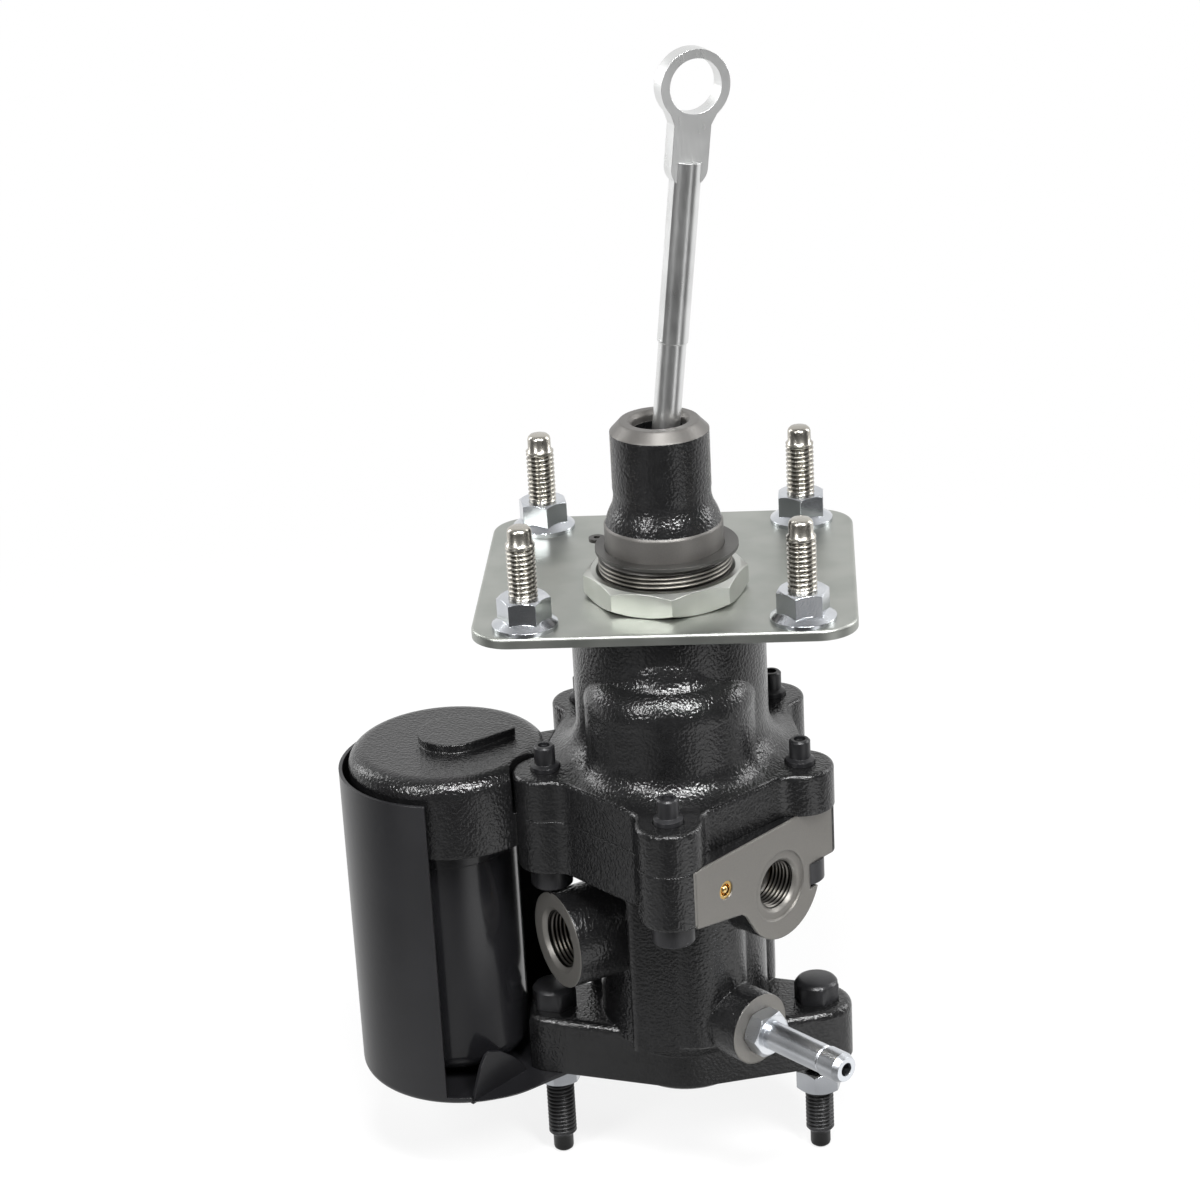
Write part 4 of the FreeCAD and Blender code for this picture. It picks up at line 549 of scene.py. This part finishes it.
stud_black = metal_finish("stud_black", (0.020, 0.020, 0.021), (0.032, 0.032, 0.034), 0.36, 1600, 0.02,
                          edge=0, metallic=0.3)
from_ear = (abs(stud_black.axis("X")) - EAR_X).hypot(stud_black.axis("Y") - AXIS_Y)
# The grooves of the metric thread are darkened with painted shade.
stud_black.paint_shade(from_ear.step(*EAR_GROOVE), (0.003, 0.003, 0.003))
dress(stud_black, "master_cylinder_stud_threads")

for name, place, groove in (("pump_port_thread", PUMP, PUMP_GROOVE), ("gear_port_thread", GEAR, GEAR_GROOVE)):
    cut = metal_finish(name + "_steel", (0.15, 0.142, 0.13), (0.22, 0.21, 0.195), 0.36, 1600, 0.01, edge=0)
    across, up, _ = cut.port_axes(place)
    # The grooves inside the bore are darkened with painted shade.
    cut.paint_shade(across.hypot(up).step(*groove), (0.006, 0.006, 0.005))
    dress(cut, name)

snout_steel = metal_finish("snout_steel", (0.15, 0.14, 0.125), (0.21, 0.20, 0.18), 0.36, 1600, 0.02,
                           edge=0, metallic=0.85)
from_axis = (snout_steel.axis("X") - AXIS_X).hypot(snout_steel.axis("Y") - AXIS_Y)
# The grooves of the snout's thread are darkened with painted shade.
snout_steel.paint_shade(from_axis.step(*SNOUT_GROOVE), (0.015, 0.014, 0.012))
dress(snout_steel, "snout_thread")

# %% [markdown]
# ## Black paint and rubber
# The accumulator can has smooth gloss paint, its shield a satin coat with faint scuffs from handling. Both
# are one formula with its own gloss: scuffs are the peaks of a stretched noise, where the paint is rougher.
# The seals are matt rubber.
# %% Paint and rubber
PAINT_EDGE = 0.4


def paint_finish(name, dark, light, roughness, bump):
    """Smooth black paint with a faint drift, light scuffs and a little orange peel."""
    finish = Finish(name, IOR=1.5, Specular_IOR_Level=0.4)
    slow, scuff = finish.noise(45), finish.noise(420, 4.0, 0.7, (1, 1, 0.35)).step(0.62, 0.8)
    finish.feed(Base_Color=finish.mix(slow, dark, light),
                Roughness=roughness + scuff * 0.12 + (slow - 0.5) * 0.06,
                Normal=finish.bump(finish.noise(500, 1.0), bump, 0.5, PAINT_EDGE))
    return finish


dress(paint_finish("can_gloss", (0.006, 0.006, 0.007), (0.011, 0.011, 0.012), 0.16, 0.02),
      "accumulator_can", "accumulator_ring")
dress(paint_finish("shield_satin", (0.007, 0.007, 0.0078), (0.012, 0.012, 0.0135), 0.3, 0.03), "heat_shield")
rubber = Finish("seal_rubber", IOR=1.5)
rubber.feed(Base_Color=rubber.mix(rubber.noise(300), (0.012, 0.012, 0.012), (0.03, 0.03, 0.03)),
            Roughness=0.5 + rubber.noise(700) * 0.2)
dress(rubber, "cover_seal", "input_seal", "return_fitting_seal", "piston_seal", "spool_plug_seal",
      "accumulator_piston_seal", "accumulator_seal")

# %% [markdown]
# ## Floor
# The booster stands on a white sweep. A floor lit to pure white would lose its shadow, so the camera sees
# one part of the pale floor's own shading and four parts of an even glow, and further out the glow alone.
# Mirror rays see another floor: dark in front and bright behind, with a bright patch to each side of the
# camera. A gloss black part shows little else, so this is what draws its edges and its lower faces.
# %% Floor
FLOOR_DROP, FLOOR_HALF = 0.0004, 4
EVEN_GLOW, GLOW_ALONE = 0.8, (0.35, 0.8)
FRONT_SHEEN, BEHIND = 0.1, (-260, 160)
PATCH_SIDES, PATCH_START = (60, 170), (90, 160)


def floor_patch(finish, azimuth):
    """1 on a strip of floor that leaves the object towards an azimuth, with soft sides and near end."""
    turn = math.radians(azimuth)
    x, y = finish.axis("X"), finish.axis("Y")
    aside = x * math.cos(turn) + y * math.sin(turn)
    ahead = x * math.sin(turn) - y * math.cos(turn)
    return (1 - abs(aside).step(*PATCH_SIDES)) * ahead.step(*PATCH_START)


def floor_finish():
    """Pale floor that the camera sees as near white, with the object's soft shadow left on it."""
    finish = Finish("floor_white", Roughness=0.9, Base_Color=(0.86, 0.86, 0.86))
    mirrored = finish.ray("Glossy").most(finish.ray("Transmission"))
    far = finish.node("ShaderNodeVectorMath", {"operation": "LENGTH"}, {0: finish.coords}, output="Value")
    sheen = FRONT_SHEEN + finish.axis("Y").step(*BEHIND) * (1 - FRONT_SHEEN)
    sheen = sheen + floor_patch(finish, 43.8) * 1.1 + floor_patch(finish, -38.1) * 0.35
    glow = finish.node("ShaderNodeEmission", None, {"Strength": (1 - mirrored) + mirrored * sheen})
    even = EVEN_GLOW + far.step(*GLOW_ALONE) * (1 - EVEN_GLOW)
    share = (finish.ray("Camera") * even).most(mirrored)
    seen = finish.node("ShaderNodeMixShader", None,
                       {0: share, 1: Value(finish, finish.shader.outputs[0]), 2: glow})
    finish.put(finish.nodes["Material Output"].inputs["Surface"], seen)
    return finish


floor_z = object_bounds()[0].z - FLOOR_DROP
corners = [(x * FLOOR_HALF, y * FLOOR_HALF, floor_z) for x, y in ((-1, -1), (1, -1), (1, 1), (-1, 1))]
floor_mesh = bpy.data.meshes.new("floor")
floor_mesh.from_pydata(corners, [], [(0, 1, 2, 3)])
floor_mesh.materials.append(floor_finish().material)
floor = bpy.data.objects.new("floor", floor_mesh)
bpy.context.scene.collection.objects.link(floor)
print("floor at", floor_z)

# %% [markdown]
# ## Lamps and world
# Black gloss shows its lamps more than its colour. Large soft boxes stand where the photograph's highlights
# point to: two in front, one above and a tall one on each side for the rims. The world is white to the
# camera. To mirror rays it is dark in front, so that the castings keep their black.
# %% Lamps
LAMP_AIM = Vector((-0.02, -0.02, -0.05))


def softbox(name, azimuth, elevation, distance, width, height, power):
    """Area lamp on a sphere round the object, turned towards it; azimuth 0 is the camera's side."""
    a, e = math.radians(azimuth), math.radians(elevation)
    away = Vector((math.sin(a) * math.cos(e), -math.cos(a) * math.cos(e), math.sin(e)))
    lamp = bpy.data.lights.new(name, "AREA")
    lamp.shape, lamp.size, lamp.size_y, lamp.energy = "RECTANGLE", width, height, power
    made = bpy.data.objects.new(name, lamp)
    made.location = LAMP_AIM + away * distance
    made.rotation_euler = away.to_track_quat("Z", "Y").to_euler()
    bpy.context.scene.collection.objects.link(made)
    print(f"{name}: {power} W at {tuple(round(value, 3) for value in made.location)}")


softbox("front_right", 34, 44, 1.2, 0.22, 0.34, 13)
softbox("front_left", -38, 34, 1.3, 0.18, 0.5, 9)
softbox("top", 2, 58, 1.1, 0.24, 0.2, 9)
softbox("rim_right", 112, 25, 1.3, 0.25, 0.9, 6)
softbox("rim_left", -115, 25, 1.4, 0.25, 0.9, 5)

# %% World
FILL, FRONT = 0.34, 0.16
world = bpy.data.worlds.new("studio")
bpy.context.scene.world = world
studio = Tree(world)
way = studio.node("ShaderNodeTexCoord", output="Generated")
back = studio.node("ShaderNodeSeparateXYZ", None, {0: way}, output="Y").step(-0.2, 0.55)
mirror, clear, camera_ray = studio.ray("Glossy"), studio.ray("Transmission"), studio.ray("Camera")
reflected = FILL + mirror * (FRONT + back * (1 - FRONT) - FILL)
strength = reflected + clear.most(camera_ray) * (1 - reflected)
background = studio.nodes["Background"]
studio.put(background.inputs["Strength"], strength)
studio.put(background.inputs["Color"], (1, 1, 1))
bpy.context.scene.view_settings.view_transform = "Standard"
print("world fill", FILL, "front", FRONT)

# %% [markdown]
# ## Camera
# The camera was solved from the plate's corners, the studs and the main axis in the photograph. It looks
# down a little from the front with a long lens, and it leans by about three degrees.
# %% Camera
TARGET = Vector((-23.262, 0, -9.799)) * MM
DISTANCE, SENSOR, LENS = 1.0453, 36, 93.95
azimuth, elevation, roll = (math.radians(angle) for angle in (4.1825, 21.9767, -3.1327))
ahead = Vector((-math.sin(azimuth) * math.cos(elevation), math.cos(azimuth) * math.cos(elevation),
                -math.sin(elevation)))
level = Vector((math.cos(azimuth), math.sin(azimuth), 0))
upward = level.cross(ahead)
side = level * math.cos(roll) + upward * math.sin(roll)
rise = upward * math.cos(roll) - level * math.sin(roll)
camera_data = bpy.data.cameras.new("camera")
camera_data.sensor_width, camera_data.lens = SENSOR, LENS
camera_data.clip_start, camera_data.clip_end = 0.05, 20
camera = bpy.data.objects.new("camera", camera_data)
camera.matrix_world = Matrix((side, rise, -ahead)).transposed().to_4x4()
camera.location = TARGET - ahead * DISTANCE
bpy.context.scene.collection.objects.link(camera)
bpy.context.scene.camera = camera
print("camera at", camera.location)
